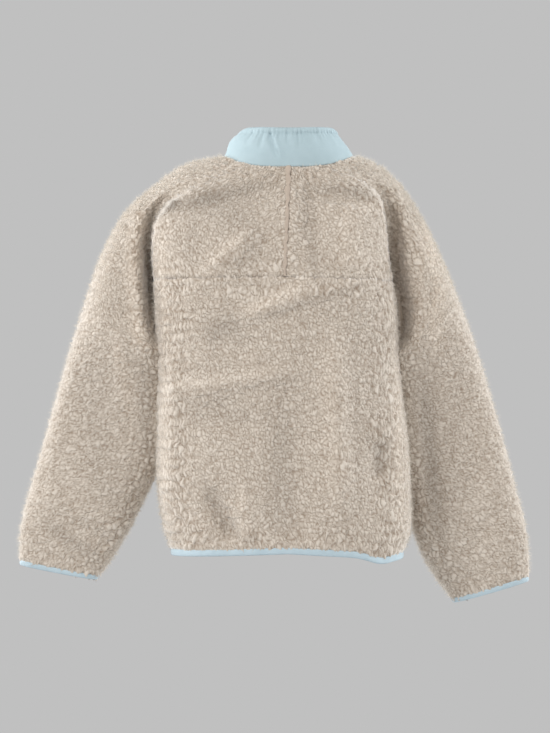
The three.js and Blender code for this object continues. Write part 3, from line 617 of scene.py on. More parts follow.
@dataclass(frozen=True)
class Curls:
    """A field of curls: rounded knots of pile on a jittered net, parted by meandering grooves."""

    seed: int
    size: float  # mean distance between curls, in millimetres
    crown: float = 0.66  # larger is a rounder curl with a wider groove
    uneven: float = 0.35  # how much lower the lowest curl is
    across: Pair = (1.0, 0.0)  # how closely curls are set across, and what comb adds
    down: Pair = (1.0, 0.0)  # how closely they are set down, and what comb adds
    margin: float = 0.05  # of its cell, in which no curl has its middle

    def height(self, across: Array, down: Array) -> Array:
        """Height of the pile, 0 in a groove to 1 on a curl.

        Args:
            across: places across the cloth, in millimetres.
            down: places down the cloth, in millimetres.

        Returns:
            The height at each place.
        """
        x, y = across / self.size, down / self.size
        cell_x, cell_y = np.floor(x).astype(np.int64), np.floor(y).astype(np.int64)
        nearest, second = np.full(x.shape, 9.0), np.full(x.shape, 9.0)
        tall = np.zeros_like(x)
        for step_x in (-1, 0, 1):
            for step_y in (-1, 0, 1):
                i, j = cell_x + step_x, cell_y + step_y
                jitter_x, jitter_y = self.jitter(i, j)
                middle_x = i + self.margin + (1 - 2 * self.margin) * jitter_x
                middle_y = j + self.margin + (1 - 2 * self.margin) * jitter_y
                away = np.hypot(middle_x - x, middle_y - y)
                second = np.minimum(second, np.maximum(away, nearest))
                tall = np.where(away < nearest, jitter_x * jitter_y * 4 % 1, tall)
                nearest = np.minimum(nearest, away)
        dome = clamp01((second - nearest) / self.crown)
        return dome * (2 - dome) * (1 - self.uneven * tall)

    def jitter(self, i: Array, j: Array) -> tuple[Array, Array]:
        """Two numbers from 0 to 1 for each cell of the net, mixed from its place and the seed."""
        mixed = (i * 73856093) ^ (j * 19349663) ^ (self.seed * 83492791)
        mixed = (mixed ^ (mixed >> 13)) * 1274126177 & 0xFFFFFFFF
        return (mixed & 0xFFFF) / 0xFFFF, (mixed >> 16 & 0xFFFF) / 0xFFFF

    def combed(self, across: Array, down: Array, comb: float) -> Array:
        """Height of the pile; comb is 1 where the curls run down the cloth, 0 where they run across."""
        wide, long = (close + more * comb for close, more in (self.across, self.down))
        return self.height(across * wide, down * long)


@dataclass(frozen=True)
class PileCut:
    """Sizes of the pile, in millimetres; heights are from the panel's outer face."""

    groove: float = -2.4
    tip: float = 1.2
    skirt: float = -4.4  # where the pile's edge dives to its ground at a seam
    crease: float = 0.8  # how far the pile sinks beside a seam
    crease_width: float = 2.0
    crease_uneven: Pair = (0.75, 0.6)  # its least share of that, and how much it varies
    lip: float = 0.7  # the pile stands up behind that crease
    lip_from: float = 6.0
    lip_width: float = 4.5
    overhang: float = 0.7  # how far the pile leans over a seam, as a share of a column
    meander: float = 2.0  # how far the finished pile is pulled about in space
    meander_length: float = 13.0
    meander_slant: float = 0.6  # how much the pull's place across changes with depth
    fringe: float = 5.0  # how far it hangs over the binding at the hem and cuffs
    fringe_uneven: Pair = (0.6, 0.55)  # its mean share of that, and how much it varies
    fringe_from: float = 12.0  # how far above the edge it begins to hang
    cover_from: float = 385.0  # nearer the body than this, pile can hang further over a cuff
    cover_over: float = 50.0
    wander: Sway = Sway(seed=21, length=55, reach=3.0)  # pulls the curls' net about
    waver: Sway = Sway(seed=61, length=21, reach=2.2)  # makes a curl's sides waver
    ragged: Sway = Sway(seed=91, length=17, reach=2.2)  # tears the clumps' borders
    coarse: Curls = Curls(seed=3, size=7.8, crown=0.85, uneven=0.3, across=(0.8, 0.5), down=(1.05, -0.6))
    fine: Curls = Curls(seed=11, size=5.2, crown=0.7, uneven=0.35, across=(0.8, 0.3), down=(1.25, -0.45))
    clumps: Curls = Curls(seed=29, size=15.0, crown=0.3, uneven=0.0, across=(1.3, 0.0), down=(0.72, 0.0))
    clump_depth: float = 0.34  # share of the pile's height lost between clumps of curls
    clump_close: float = 0.35  # share of that loss where the pile lies close
    opens: Pair = (0.2, 0.6)  # openness at which coarse curls set in, and over how much
    blend: float = 0.28  # share of fine curls among the coarse
    open_height: Pair = (0.02, 0.93)  # of an open groove, and what a curl adds
    close_height: Pair = (0.2, 0.62)  # of a close groove, and what a curl adds

    def relief(self, across: Array, down: Array, openness: Array, seed: int, comb: float) -> Array:
        """Height of the curls from 0, a groove, to 1, a tip.

        Args:
            across: places across the cloth, in millimetres.
            down: places down the cloth, in millimetres.
            openness: 0 where the pile lies close to 1 where its curls open.
            seed: shifts the pattern from panel to panel.
            comb: 1 where the curls run down the cloth, 0 where they run across it.

        Returns:
            The height at each place.
        """
        sways = (self.wander, self.waver, self.ragged)
        pull, twist, ragged = (sway.pull(across, down, seed) for sway in sways)
        u = across + pull[0] + twist[0] + PANEL_SHIFT * seed
        v = down + pull[1] + twist[1]
        open_pile, close_pile = (curls.combed(u, v, comb) for curls in (self.coarse, self.fine))
        open_pile = (1 - self.blend) * open_pile + self.blend * close_pile
        share = smooth((openness - self.opens[0]) / self.opens[1])
        open_pile = self.open_height[0] + self.open_height[1] * open_pile
        close_pile = self.close_height[0] + self.close_height[1] * close_pile
        both = open_pile * share + close_pile * (1 - share)
        clumped = self.clumps.combed(u + ragged[0], v + ragged[1], comb)
        loss = self.clump_depth * (self.clump_close + (1 - self.clump_close) * openness)
        return both * (1 - loss * (1 - clumped))

    def edge(self, distance: Array, along: Array) -> Array:
        """Height added beside a seam at a distance from it; along varies from place to place."""
        least, more = self.crease_uneven
        sunk = self.crease * (least + more * along) * bell(distance, self.crease_width)
        return self.lip * (1 + along) * bell(distance - self.lip_from, self.lip_width) - sunk

    def pull_about(self, points: Array) -> Array:
        """Shifts the pile a little in space, alike on both sides of a seam."""
        moved = points.copy()
        for axis, seed in ((0, 131), (2, 141)):
            across = points[..., 0] + self.meander_slant * points[..., 1]
            moved[..., axis] += self.meander * Drift(seed, self.meander_length).value(across, points[..., 2])
        return moved


# ---------------------------------------------------------------- finishes
def rgb(red: float, green: float, blue: float) -> Colour:
    """A colour given as a screen's 0 to 255 values, made linear."""
    parts = [value / 255 for value in (red, green, blue)]
    linear = [p / 12.92 if p <= 0.04045 else ((p + 0.055) / 1.055) ** 2.4 for p in parts]
    return (*linear, 1.0)


class Nodes:
    """Lays out the nodes of one material or group."""

    def __init__(self, tree: NodeTree) -> None:
        """Starts on an empty tree."""
        self.tree = tree
        self.output: Node | None = None
        tree.nodes.clear()

    def feed(self, node: Node, values: Values) -> None:
        """Gives inputs of a node their values, or the sockets that drive them."""
        for name, value in values.items():
            if isinstance(value, NodeSocket):
                self.tree.links.new(value, node.inputs[name])
            else:
                node.inputs[name].default_value = value

    def add(self, kind: str, values: Values | None = None, **settings: object) -> Node:
        """Adds a node with its inputs' values or sockets and its own settings."""
        node = self.tree.nodes.new(kind)
        for name, value in settings.items():
            setattr(node, name, value)
        self.feed(node, values or {})
        return node

    def math(self, how: str, *values: object) -> NodeSocket:
        """A Math node of values or sockets."""
        return self.add("ShaderNodeMath", dict(enumerate(values)), operation=how).outputs[0]

    def mix(self, share: object, low: object, high: object) -> NodeSocket:
        """A colour mix of two colours or sockets."""
        return self.add("ShaderNodeMix", {0: share, 6: low, 7: high}, data_type="RGBA").outputs[2]

    def step(self, value: NodeSocket, low: float, high: float) -> NodeSocket:
        """A value spread from 0 at low to 1 at high."""
        values = {"Value": value, "From Min": low, "From Max": high}
        return self.add("ShaderNodeMapRange", values).outputs[0]

    def attribute(self, name: str) -> NodeSocket:
        """A number stored at the piece's vertices."""
        return self.add("ShaderNodeAttribute", attribute_name=name).outputs["Fac"]

    def noise(self, scale: float, detail: float = 2.0) -> NodeSocket:
        """Noise in the garment's space."""
        place = self.add("ShaderNodeTexCoord").outputs["Object"]
        values = {"Vector": place, "Scale": scale, "Detail": detail}
        return self.add("ShaderNodeTexNoise", values).outputs["Fac"]


def shader_group(name: str, inputs: dict[str, float], outputs: tuple[str, ...]) -> NodeTree:
    """Makes an empty shader group with named float sockets."""
    group = bpy.data.node_groups.new(name, "ShaderNodeTree")
    group.interface.new_socket("UV", in_out="INPUT", socket_type="NodeSocketVector")
    for label, value in inputs.items():
        socket = group.interface.new_socket(label, in_out="INPUT", socket_type="NodeSocketFloat")
        socket.default_value = value
    for label in outputs:
        group.interface.new_socket(label, in_out="OUTPUT", socket_type="NodeSocketFloat")
    return group


def fibre_group() -> NodeTree:
    """Loose fibres: fine knots of yarn and hairs, as a height from 0 to 1."""
    group = shader_group("fibres", {"Knots": 260.0, "Hairs": 1500.0, "Share": 0.5}, ("Height",))
    nodes = Nodes(group)
    start = nodes.add("NodeGroupInput").outputs
    values = {"Vector": start["UV"], "Scale": start["Knots"], "Smoothness": 0.35}
    knots = nodes.add("ShaderNodeTexVoronoi", values, feature="SMOOTH_F1")
    values = {"Vector": start["UV"], "Scale": start["Hairs"], "Detail": 2.0, "Roughness": 0.6}
    hairs = nodes.add("ShaderNodeTexNoise", values)
    dome = nodes.math("SUBTRACT", 1.0, nodes.math("MULTIPLY", knots.outputs["Distance"], 1.3))
    scaled = nodes.math("MULTIPLY", dome, nodes.math("SUBTRACT", 1.0, start["Share"]))
    loose = nodes.math("MULTIPLY", hairs.outputs["Fac"], start["Share"])
    nodes.add("NodeGroupOutput", {"Height": nodes.math("ADD", scaled, loose)})
    return group


def weave_group() -> NodeTree:
    """A plain weave or rib: crossed threads as a height from 0 to 1."""
    group = shader_group("weave", {"Across": 1400.0, "Down": 1400.0, "Rib": 0.0}, ("Height",))
    nodes = Nodes(group)
    start = nodes.add("NodeGroupInput").outputs
    parts = nodes.add("ShaderNodeSeparateXYZ", {0: start["UV"]}).outputs
    turns_x = nodes.math("MULTIPLY", parts["X"], start["Across"])
    turns_y = nodes.math("MULTIPLY", parts["Y"], start["Down"])
    warp = nodes.math("SINE", nodes.math("MULTIPLY", turns_x, math.tau))
    weft = nodes.math("SINE", nodes.math("MULTIPLY", turns_y, math.tau))
    crossed = nodes.math("MULTIPLY", warp, weft)
    plain = nodes.math("MULTIPLY", crossed, nodes.math("SUBTRACT", 1.0, start["Rib"]))
    both = nodes.math("ADD", plain, nodes.math("MULTIPLY", warp, start["Rib"]))
    height = nodes.math("ADD", nodes.math("MULTIPLY", both, 0.5), 0.5)
    nodes.add("NodeGroupOutput", {"Height": height})
    return group


@dataclass(frozen=True)
class Finish(ABC):
    """A material of the jacket."""

    name: str

    def shader(self) -> tuple[Material, Nodes, Node]:
        """A new material with its node layout and its Principled shader."""
        material = bpy.data.materials.new(self.name)
        material.use_nodes = True
        nodes = Nodes(material.node_tree)
        shader = nodes.add("ShaderNodeBsdfPrincipled")
        nodes.output = nodes.add("ShaderNodeOutputMaterial", {0: shader.outputs[0]})
        return material, nodes, shader

    @abstractmethod
    def build(self, groups: dict[str, NodeTree]) -> Material:
        """Makes the material."""


def place_group(nodes: Nodes, group: NodeTree, **values: float) -> NodeSocket:
    """Places a shader group on the piece's UV map with its own values, and gives its height."""
    place = nodes.add("ShaderNodeUVMap").outputs[0]
    return nodes.add("ShaderNodeGroup", {"UV": place, **values}, node_tree=group).outputs[0]


def place_bump(nodes: Nodes, height: NodeSocket, depth: float, shader: Node) -> None:
    """Feeds a height to the shader's normal; depth is in metres."""
    bump = nodes.add("ShaderNodeBump", {"Strength": 1.0, "Distance": depth, "Height": height})
    nodes.feed(shader, {"Normal": bump.outputs[0]})


@dataclass(frozen=True)
class PileFinish(Finish):
    """Curly pile: pale tips over darker, warmer grooves, the grooves' darkness partly the pile's own tone
    and partly painted shade, with a soft sheen on its fibres.
    """

    # The grooves' colour: partly the pile's own deeper tone, partly painted shade.
    groove: Colour = rgb(146, 129, 112)
    body: Colour = rgb(208, 197, 184)
    tip: Colour = rgb(217, 208, 197)
    sheen: float = 0.9
    depth: float = 0.0003  # of the fibres, in metres
    painted_shading: float = 0.19  # how much darker or lighter the painted shade and painted light make the pile
    knots: float = 340.0  # of the fibres' pattern, a metre
    hairs: float = 1300.0
    fibre_tone: Pair = (0.35, -0.2)  # how much the fibres change the pile's tone, and where from
    groove_to_body: Pair = (0.05, 0.62)  # heights between which the colour changes
    body_to_tip: Pair = (0.5, 1.05)

    def build(self, groups: dict[str, NodeTree]) -> Material:
        """Makes the material."""
        material, nodes, shader = self.shader()
        fibres = place_group(nodes, groups["fibres"], Knots=self.knots, Hairs=self.hairs, Share=0.35)
        tone = nodes.math("MULTIPLY_ADD", fibres, *self.fibre_tone)
        raised = nodes.math("ADD", nodes.attribute("pile"), tone)
        colour = nodes.mix(nodes.step(raised, *self.groove_to_body), self.groove, self.body)
        colour = nodes.mix(nodes.step(raised, *self.body_to_tip), colour, self.tip)
        # Painted shade and painted light: the stored tone darkens or lightens the pile's colour.
        lit = nodes.math("MULTIPLY_ADD", nodes.attribute("painted_shading"), self.painted_shading, 1.0)
        shaded_colour = nodes.add("ShaderNodeHueSaturation", {"Color": colour, "Value": lit})
        look = {
            "Base Color": shaded_colour.outputs[0],
            "Roughness": 0.95,
            "Specular IOR Level": 0.15,
            "Sheen Weight": self.sheen,
            "Sheen Roughness": 0.45,
        }
        nodes.feed(shader, look)
        place_bump(nodes, fibres, self.depth, shader)
        return material


@dataclass(frozen=True)
class FuzzFinish(Finish):
    """Loose fibres: pale, and lit through from behind."""

    colour: Colour = rgb(226, 220, 211)
    through: float = 0.5

    def build(self, groups: dict[str, NodeTree]) -> Material:
        """Makes the material."""
        material, nodes, shader = self.shader()
        nodes.feed(shader, {"Base Color": self.colour, "Roughness": 1.0, "Specular IOR Level": 0.0})
        behind = nodes.add("ShaderNodeBsdfTranslucent", {"Color": self.colour})
        sides = {0: self.through, 1: shader.outputs[0], 2: behind.outputs[0]}
        both = nodes.add("ShaderNodeMixShader", sides)
        nodes.feed(nodes.output, {0: both.outputs[0]})
        return material


@dataclass(frozen=True)
class ClothFinish(Finish):
    """Smooth cloth: threads of two near colours, woven plain or ribbed."""

    thread: Colour = rgb(177, 196, 202)
    gap: Colour = rgb(163, 184, 190)
    across: float = 1400.0
    down: float = 1400.0
    rib: float = 0.0
    rough: float = 0.7
    sheen: float = 0.1
    depth: float = 0.00008  # of the threads, in metres
    cloud_scale: float = 60.0  # of the slow change in tone
    cloud_share: float = 0.7
    thread_share: float = 0.6

    def build(self, groups: dict[str, NodeTree]) -> Material:
        """Makes the material."""
        material, nodes, shader = self.shader()
        weave = place_group(nodes, groups["weave"], Across=self.across, Down=self.down, Rib=self.rib)
        cloud = nodes.math("MULTIPLY", nodes.noise(self.cloud_scale), self.cloud_share)
        share = nodes.math("MULTIPLY_ADD", weave, self.thread_share, cloud)
        look = {
            "Base Color": nodes.mix(share, self.gap, self.thread),
            "Roughness": self.rough,
            "Specular IOR Level": 0.35,
            "Sheen Weight": self.sheen,
        }
        nodes.feed(shader, look)
        place_bump(nodes, weave, self.depth, shader)
        return material


@dataclass(frozen=True)
class HardFinish(Finish):
    """A moulded or painted hard finish, a little worn and uneven."""

    colour: Colour = rgb(176, 165, 150)
    worn: Colour = rgb(158, 147, 132)
    rough: float = 0.42
    metallic: float = 0.0
    grain: float = 900.0
    depth: float = 0.00004  # of the grain, in metres

    def build(self, groups: dict[str, NodeTree]) -> Material:
        """Makes the material."""
        material, nodes, shader = self.shader()
        grain = nodes.noise(self.grain, 3.0)
        colour = nodes.mix(grain, self.worn, self.colour)
        nodes.feed(shader, {"Base Color": colour, "Roughness": self.rough, "Metallic": self.metallic})
        place_bump(nodes, grain, self.depth, shader)
        return material


@dataclass(frozen=True)
class Wardrobe:
    """The finished materials, by what they dress."""

    pile: Material
    fuzz: Material
    ground: Material
    collar: Material
    binding: Material
    tape: Material
    thread: Material
    teeth: Material
    metal: Material

    @classmethod
    def sewn(cls) -> "Wardrobe":
        """Builds the shared groups and every material."""
        groups = {"fibres": fibre_group(), "weave": weave_group()}
        finishes = {
            "pile": PileFinish("pile"),
            "fuzz": FuzzFinish("fuzz"),
            "ground": ClothFinish(
                "knitted_ground", thread=rgb(206, 192, 176), gap=rgb(176, 160, 143),
                across=420.0, down=420.0, rib=0.4, rough=0.95, depth=0.0003,
            ),
            "collar": ClothFinish("collar_cloth"),
            "binding": ClothFinish(
                "binding_knit", thread=rgb(192, 209, 217), gap=rgb(164, 184, 193),
                across=900.0, down=500.0, rib=0.7, rough=0.85, sheen=0.2, depth=0.0002,
            ),
            "tape": ClothFinish(
                "twill_tape", thread=rgb(194, 179, 164), gap=rgb(170, 154, 140),
                across=800.0, down=800.0, rib=0.3, rough=0.85, depth=0.00015,
            ),
            "thread": HardFinish("sewing_thread", rgb(150, 178, 187), rgb(132, 160, 170), rough=0.7),
            "teeth": HardFinish("zip_teeth"),
            "metal": HardFinish(
                "painted_metal", rgb(160, 149, 138), rgb(140, 130, 119), rough=0.36, metallic=0.5
            ),
        }
        return cls(**{label: finish.build(groups) for label, finish in finishes.items()})


# ---------------------------------------------------------------- small repeated pieces
def frames(points: Array, along: Array, out: Array, size: Array | float = 1.0) -> Array:
    """Matrices that place small shapes.

    Args:
        points: where they go, in millimetres.
        along: directions of their x.
        out: directions that their z leans towards.
        size: how much each is scaled along x, y and z.

    Returns:
        One 4 by 4 matrix for each place, in metres.
    """
    x = unit(along)
    z = unit(out - x * np.sum(x * out, axis=-1, keepdims=True))
    placed, sizes = np.zeros((len(points), 4, 4)), np.broadcast_to(size, (len(points), 3))
    placed[:, :3, :3] = np.stack([x, np.cross(z, x), z], axis=-1) * sizes[:, None]
    placed[:, :3, 3] = points * MM
    placed[:, 3, 3] = 1
    return placed


def copies(name: str, template: bmesh.types.BMesh, places: Array) -> Object:
    """Joins copies of one small shape into a mesh.

    Args:
        name: the piece's name.
        template: the shape about the origin, in metres; it is freed.
        places: a matrix for each copy.

    Returns:
        The new object, linked to the scene.
    """
    shape = bpy.data.meshes.new(name + "_shape")
    template.to_mesh(shape)
    template.free()
    spots = np.empty(len(shape.vertices) * 3, dtype=np.float32)
    corners = np.empty(len(shape.loops), dtype=np.int32)
    starts = np.empty(len(shape.polygons), dtype=np.int32)
    shape.vertices.foreach_get("co", spots)
    shape.loops.foreach_get("vertex_index", corners)
    shape.polygons.foreach_get("loop_start", starts)
    step = np.arange(len(places), dtype=np.int32)[:, None]
    points = np.einsum("nij,vj->nvi", places[:, :3, :3], spots.reshape(-1, 3)) + places[:, None, :3, 3]
    mesh = bpy.data.meshes.new(name)
    mesh.vertices.add(len(places) * len(shape.vertices))
    mesh.loops.add(len(places) * len(shape.loops))
    mesh.polygons.add(len(places) * len(shape.polygons))
    mesh.vertices.foreach_set("co", points.astype(np.float32).ravel())
    mesh.loops.foreach_set("vertex_index", (corners + step * len(shape.vertices)).ravel())
    mesh.polygons.foreach_set("loop_start", (starts + step * len(corners)).ravel())
    mesh.polygons.foreach_set("use_smooth", np.ones(len(mesh.polygons), dtype=bool))
    mesh.update(calc_edges=True)
    bpy.data.meshes.remove(shape)
    return put(name, mesh)


@dataclass(frozen=True)
class Fuzz:
    """Loose fibres that stand off the curls, each a long thin leaf; sizes in millimetres."""

    shortest: float = 3.0
    longest: float = 12.0  # few are this long
    thick: float = 0.7
    apart: float = 330.0  # how far down the sleeves leave the body
    apart_over: float = 60.0
    outward: Pair = (0.4, 2.0)  # share of fibres on level cloth, and what facing out adds
    turned: Pair = (0.8, 0.6)  # where cloth counts as turned to the side, and over how much
    rim: int = 3  # rows and columns at the pile's edges that have none
    spare: float = 0.12  # share of the fibres on cloth that faces front or back
    lean: float = 0.5  # how far a fibre leans from the pile's normal
    hang: float = 0.2  # how far it hangs down
    root: float = 1.0  # how deep it starts in the pile

    def template(self) -> bmesh.types.BMesh:
        """A leaf about the origin, 1 m long along x and 1 m wide at its root."""
        work = bmesh.new()
        bmesh.ops.create_circle(work, segments=3, radius=1, cap_ends=True)
        bmesh.ops.translate(work, vec=(0.5, 0, 0), verts=work.verts)
        tip = max(work.verts, key=lambda vert: vert.co.x)
        for vert in work.verts:
            vert.co = (1, 0, 0) if vert == tip else (0, math.copysign(0.5, vert.co.y), 0)
        return work

    def build(self, name: str, points: Array, flipped: bool, count: int, seed: int) -> Object:
        """Sets fibres on the pile.

        Args:
            name: the piece's name.
            points: the pile's grid of places, in millimetres.
            flipped: whether the grid's faces are turned round.
            count: how many fibres are set.
            seed: of their places and ways.

        Returns:
            The new object, linked to the scene.
        """
        draw = np.random.default_rng(300 + seed)
        normals = grid_normals(points, flipped)
        level, more = self.outward
        outward = normals[..., 0] * np.sign(points[..., 0]) + np.abs(normals[..., 2])
        outer = np.maximum(
            smooth(level + more * outward), smooth((-points[..., 2] - self.apart) / self.apart_over)
        )
        inner = (slice(self.rim, -self.rim),) * 2
        wanted = (self.spare + turned_share(normals, *self.turned) * outer)[inner].ravel()
        picked = draw.choice(wanted.size, count, p=wanted / wanted.sum())
        rows, columns = np.array(np.divmod(picked, points.shape[1] - 2 * self.rim)) + self.rim
        way = normals[rows, columns] + self.lean * draw.normal(size=(count, 3))
        way = unit(way - np.array([0.0, 0.0, self.hang]))
        length = self.shortest + (self.longest - self.shortest) * draw.uniform(0, 1, count) ** 2
        size = np.stack([length, np.full(count, self.thick), np.ones(count)], axis=-1) * MM
        roots = points[rows, columns] - way * self.root
        return copies(name, self.template(), frames(roots, way, draw.normal(size=(count, 3)), size))


# ---------------------------------------------------------------- fleece panels
class Side(Enum):
    """Which way a panel's columns run when its rows run down."""

    PLAIN = False
    TURNED = True  # faces are turned round so that they point out


@dataclass(frozen=True)
class Sink:
    """How deep a raglan seam is sunk towards the middle of the garment, row by row."""

    depth: Table
    sleeve_width: float  # reach of the hollow on the sleeve, in millimetres
    body_width: float = 6.0


LEFT_SINK = Sink(
    Table(
        "row depth",
        ((0, 0), (2, 1), (3, 7), (4, 20), (5, 32), (6, 38), (7, 34), (8, 22), (9, 7), (10, 0)),
    ),
    sleeve_width=17,
    body_width=10,
)
RIGHT_SINK = Sink(
    Table(
        "row depth",
        ((0, 0), (2, 2), (3, 9), (4, 20), (5, 30), (6, 36), (7, 36), (8, 32), (9, 20), (9.7, 6), (10, 0)),
    ),
    sleeve_width=22,
    body_width=8,
)


@dataclass(frozen=True)
class PileOpening:
    """How far the pile's curls open, from 0, closed, to 1; sizes are in millimetres."""

    least: float = 0.05
    patches: Triple = (0.3, 0.35, 0.9)  # their weight, their mean, how much they drift
    patch_length: float = 75.0
    turned: Triple = (0.25, 0.72, 0.4)  # weight of cloth turned to the side, and where it is turned
    ridge: float = 0.3  # weight of ridges and troughs
    ridge_height: float = 5.0  # of a ridge that counts in full
    trough: float = -0.6  # the most that a trough closes it, as a share of that
    beside: Pair = (24.0, 20.0)  # where it opens beside a side seam, and how widely
    beside_weight: float = 0.9
    beside_from: float = 60.0  # from the centre line; nearer it the pile beside a seam stays close
    end: Pair = (22.0, 16.0)  # where it opens beside a panel's ends, and how widely
    end_weight: float = 0.4
    drift: float = 0.6  # how much both of those vary
    drift_length: float = 60.0

    def share(self, grid: Grid, spread: tuple[Array, Array], folds: Array, seed: int) -> Array:
        """Where the pile opens: on ridges, at turned edges, beside seams and in drifting patches.

        Args:
            grid: the panel's grid.
            spread: places across and down the cloth, in millimetres.
            folds: height of the panel's ridges and troughs, in millimetres.
            seed: the panel's seed.

        Returns:
            The share at each place.
        """
        side, end = grid.edges()
        weight, *where = self.turned
        turned = weight * turned_share(grid.normals, *where)
        weight, mean, sway = self.patches
        patches = weight * (mean + sway * Drift(40 + seed, self.patch_length).value(*spread))
        ridge = self.ridge * np.clip(folds / self.ridge_height, self.trough, 1)
        drift = 1 + self.drift * Drift(46 + seed, self.drift_length).value(*spread)
        away = smooth((np.abs(grid.points[..., 0]) - self.beside_from) / self.beside_from)
        beside = self.beside_weight * away * bell(side - self.beside[0], self.beside[1])
        ends = self.end_weight * bell(end - self.end[0], self.end[1])
        return clamp01(self.least + patches + turned + drift * np.maximum(beside, ends) + ridge)


@dataclass
class FleecePanel(ABC):
    """A fleece panel: a thin knitted ground, and its pile as a skin of curls over it."""

    name: str
    rows: Pair
    across: Pair
    pile_rows: int
    pile_columns: int
    flat: Pair  # width and length of the rectangle it is cut from, in metres
    cut_area: float  # in square metres
    seed: int
    fuzz_count: int
    side: Side = Side.PLAIN
    creases: Table | None = None
    painted_shading: Table | None = None  # where painted shade and painted light make the pile darker or lighter
    dense: float = 1.0  # below 1 the first columns are set closer than the last
    calm: float = 22.0  # width beside a seam over which creases fade
    pile: PileCut = PileCut()
    fuzz: Fuzz = Fuzz()
    open_pile: PileOpening = PileOpening()
    cuff_cover: float = 0.0  # how much further the pile hangs over the cuff's inner end
    comb: float = 1.0  # 1 where the curls run down the panel, 0 where they run across it
    matted: Triple = (0.6, 0.6, 0.4)  # how far pile on turned cloth evens out, and where it is turned
    matted_height: float = 0.66  # the height that it evens out to
    rise: Pair = (0.8, 0.1)  # of a tip over close pile, and what openness adds
    open_tone: float = 0.07  # how much paler open pile is
    rim: float = 0.05  # width of the outermost pile columns, as a share of the others
    ground_step: float = 12.0
    ground_depth: float = 3.7  # from the outer face down to the ground
    ground_wall: float = 1.0

    @abstractmethod
    def outer(self, rows: Array, across: Array) -> Array:
        """The panel's outer face, in millimetres."""

    @abstractmethod
    def ridges(self) -> Table:
        """The ridges and troughs of the panel, on which the pile opens or closes."""

    @abstractmethod
    def seam_sink(self, grid: Grid) -> Array:
        """How far each place is sunk beside the raglan seams, along y, in millimetres."""

    def grid(self, row_count: int, column_count: int, rim: float = 1.0) -> Grid:
        """The panel's shape with its creases.

        Args:
            row_count: how many rows it has.
            column_count: how many columns it has.
            rim: width of its outermost rows and columns, as a share of the others.

        Returns:
            The grid, in millimetres.
        """
        middle = np.linspace(*self.across, 5)[1:4]
        rows = even_steps(self.outer, *self.rows, middle, True, np.linspace(0, 1, row_count))
        levels, stops = np.linspace(*self.rows, 7)[1:6], np.linspace(0, 1, column_count)
        stops = self.dense * stops + (1 - self.dense) * stops**2
        across = even_steps(self.outer, *self.across, levels, False, stops)
        for steps in (rows, across):
            steps[1] = steps[0] + (steps[1] - steps[0]) * rim
            steps[-2] = steps[-1] + (steps[-2] - steps[-1]) * rim
        points = self.outer(rows[:, None], across[None, :])
        grid = Grid(points, grid_normals(points, self.side.value), rows, across)
        calm = smooth(np.minimum(*grid.edges()) / self.calm)
        points = points + grid.normals * (self.folded(self.creases, grid) * calm)[..., None]
        points[..., 1] -= self.seam_sink(grid)
        return Grid(points, grid_normals(points, self.side.value), rows, across)

    def facing(self) -> float:
        """1 where the creases are on the back, -1 on the front."""
        return 1.0

    def folded(self, folds: Table | None, grid: Grid) -> Array:
        """Height of folds where the panel faces them, 0 elsewhere or without any."""
        if folds is None:
            return np.zeros(grid.shape)
        facing = smooth(grid.normals[..., 1] * self.facing() * 2)
        return fold_height(folds, grid.points[..., 0], grid.points[..., 2]) * facing

    def build_pile(self) -> tuple[Object, Object]:
        """Makes the skin of curls and the loose fibres on it."""
        grid = self.grid(self.pile_rows, self.pile_columns, rim=self.rim)
        over, down = grid.travel(1), grid.travel(0)
        over = over - over[:, over.shape[1] // 2][:, None]
        openness = self.open_pile.share(grid, (over, down), self.folded(self.ridges(), grid), self.seed)
        relief = self.pile.relief(over, down, openness, self.seed, self.comb)
        most, *where = self.matted
        matted = most * turned_share(grid.normals, *where)
        relief = relief * (1 - matted) + self.matted_height * matted
        span = self.pile.tip - self.pile.groove
        height = self.pile.groove + span * relief * (self.rise[0] + self.rise[1] * openness)
        along = Drift(151, 45).value(grid.points[..., 0], grid.points[..., 2])
        height = height + self.pile.edge(np.minimum(*grid.edges()), along)
        for rim in (height[0], height[-1], height[:, 0], height[:, -1]):
            rim[:] = self.pile.skirt
        even = np.stack([soften(grid.points[..., k], 6) for k in range(3)], axis=-1)
        points = grid.points + grid_normals(even, self.side.value) * height[..., None]
        points = self.pile.pull_about(self.fringe(grid, self.lean_over(points)))
        piece = new_grid_mesh(self.name + "_pile", points, not self.side.value)
        set_uv(piece, over + PANEL_SHIFT * self.seed, down)
        # The pile's height, which paints shade into its grooves and pales its tips.
        set_attribute(piece, "pile", clamp01(relief + self.open_tone * openness))
        # A tone of painted shade and painted light, stored for the pile's material.
        set_attribute(piece, "painted_shading", self.folded(self.painted_shading, grid))
        fuzz = self.fuzz.build(self.name + "_fuzz", points, self.side.value, self.fuzz_count, self.seed)
        return piece, fuzz

    def lean_over(self, points: Array) -> Array:
        """Pushes the pile beside each edge a little over it, so that no slit shows there."""
        moved = points.copy()
        for edge, inner in ((1, 2), (-2, -3)):
            moved[edge] += (points[edge] - points[inner]) * self.pile.overhang
            moved[:, edge] += (points[:, edge] - points[:, inner]) * self.pile.overhang
        return moved

    def fringe(self, grid: Grid, points: Array) -> Array:
        """Lets the pile beside a bound edge hang over the binding, unevenly."""
        if grid.rows[-1] < HEM:
            return points
        pile, across = self.pile, np.abs(grid.points[-1:, :, 0])
        left = grid.travel(0)[-1:] - grid.travel(0)
        way = unit(grid.points[-1] - grid.points[-4])
        mean, more = pile.fringe_uneven
        uneven = mean + more * Drift(161, 9).value(grid.points[-1:, :, 0], grid.points[-1:, :, 1])
        inner = smooth((pile.cover_from - across) / pile.cover_over) * self.cuff_cover
        reach = pile.fringe * uneven * smooth(1 - left / pile.fringe_from) * (1 + inner)
        return points + way[None] * reach[..., None]

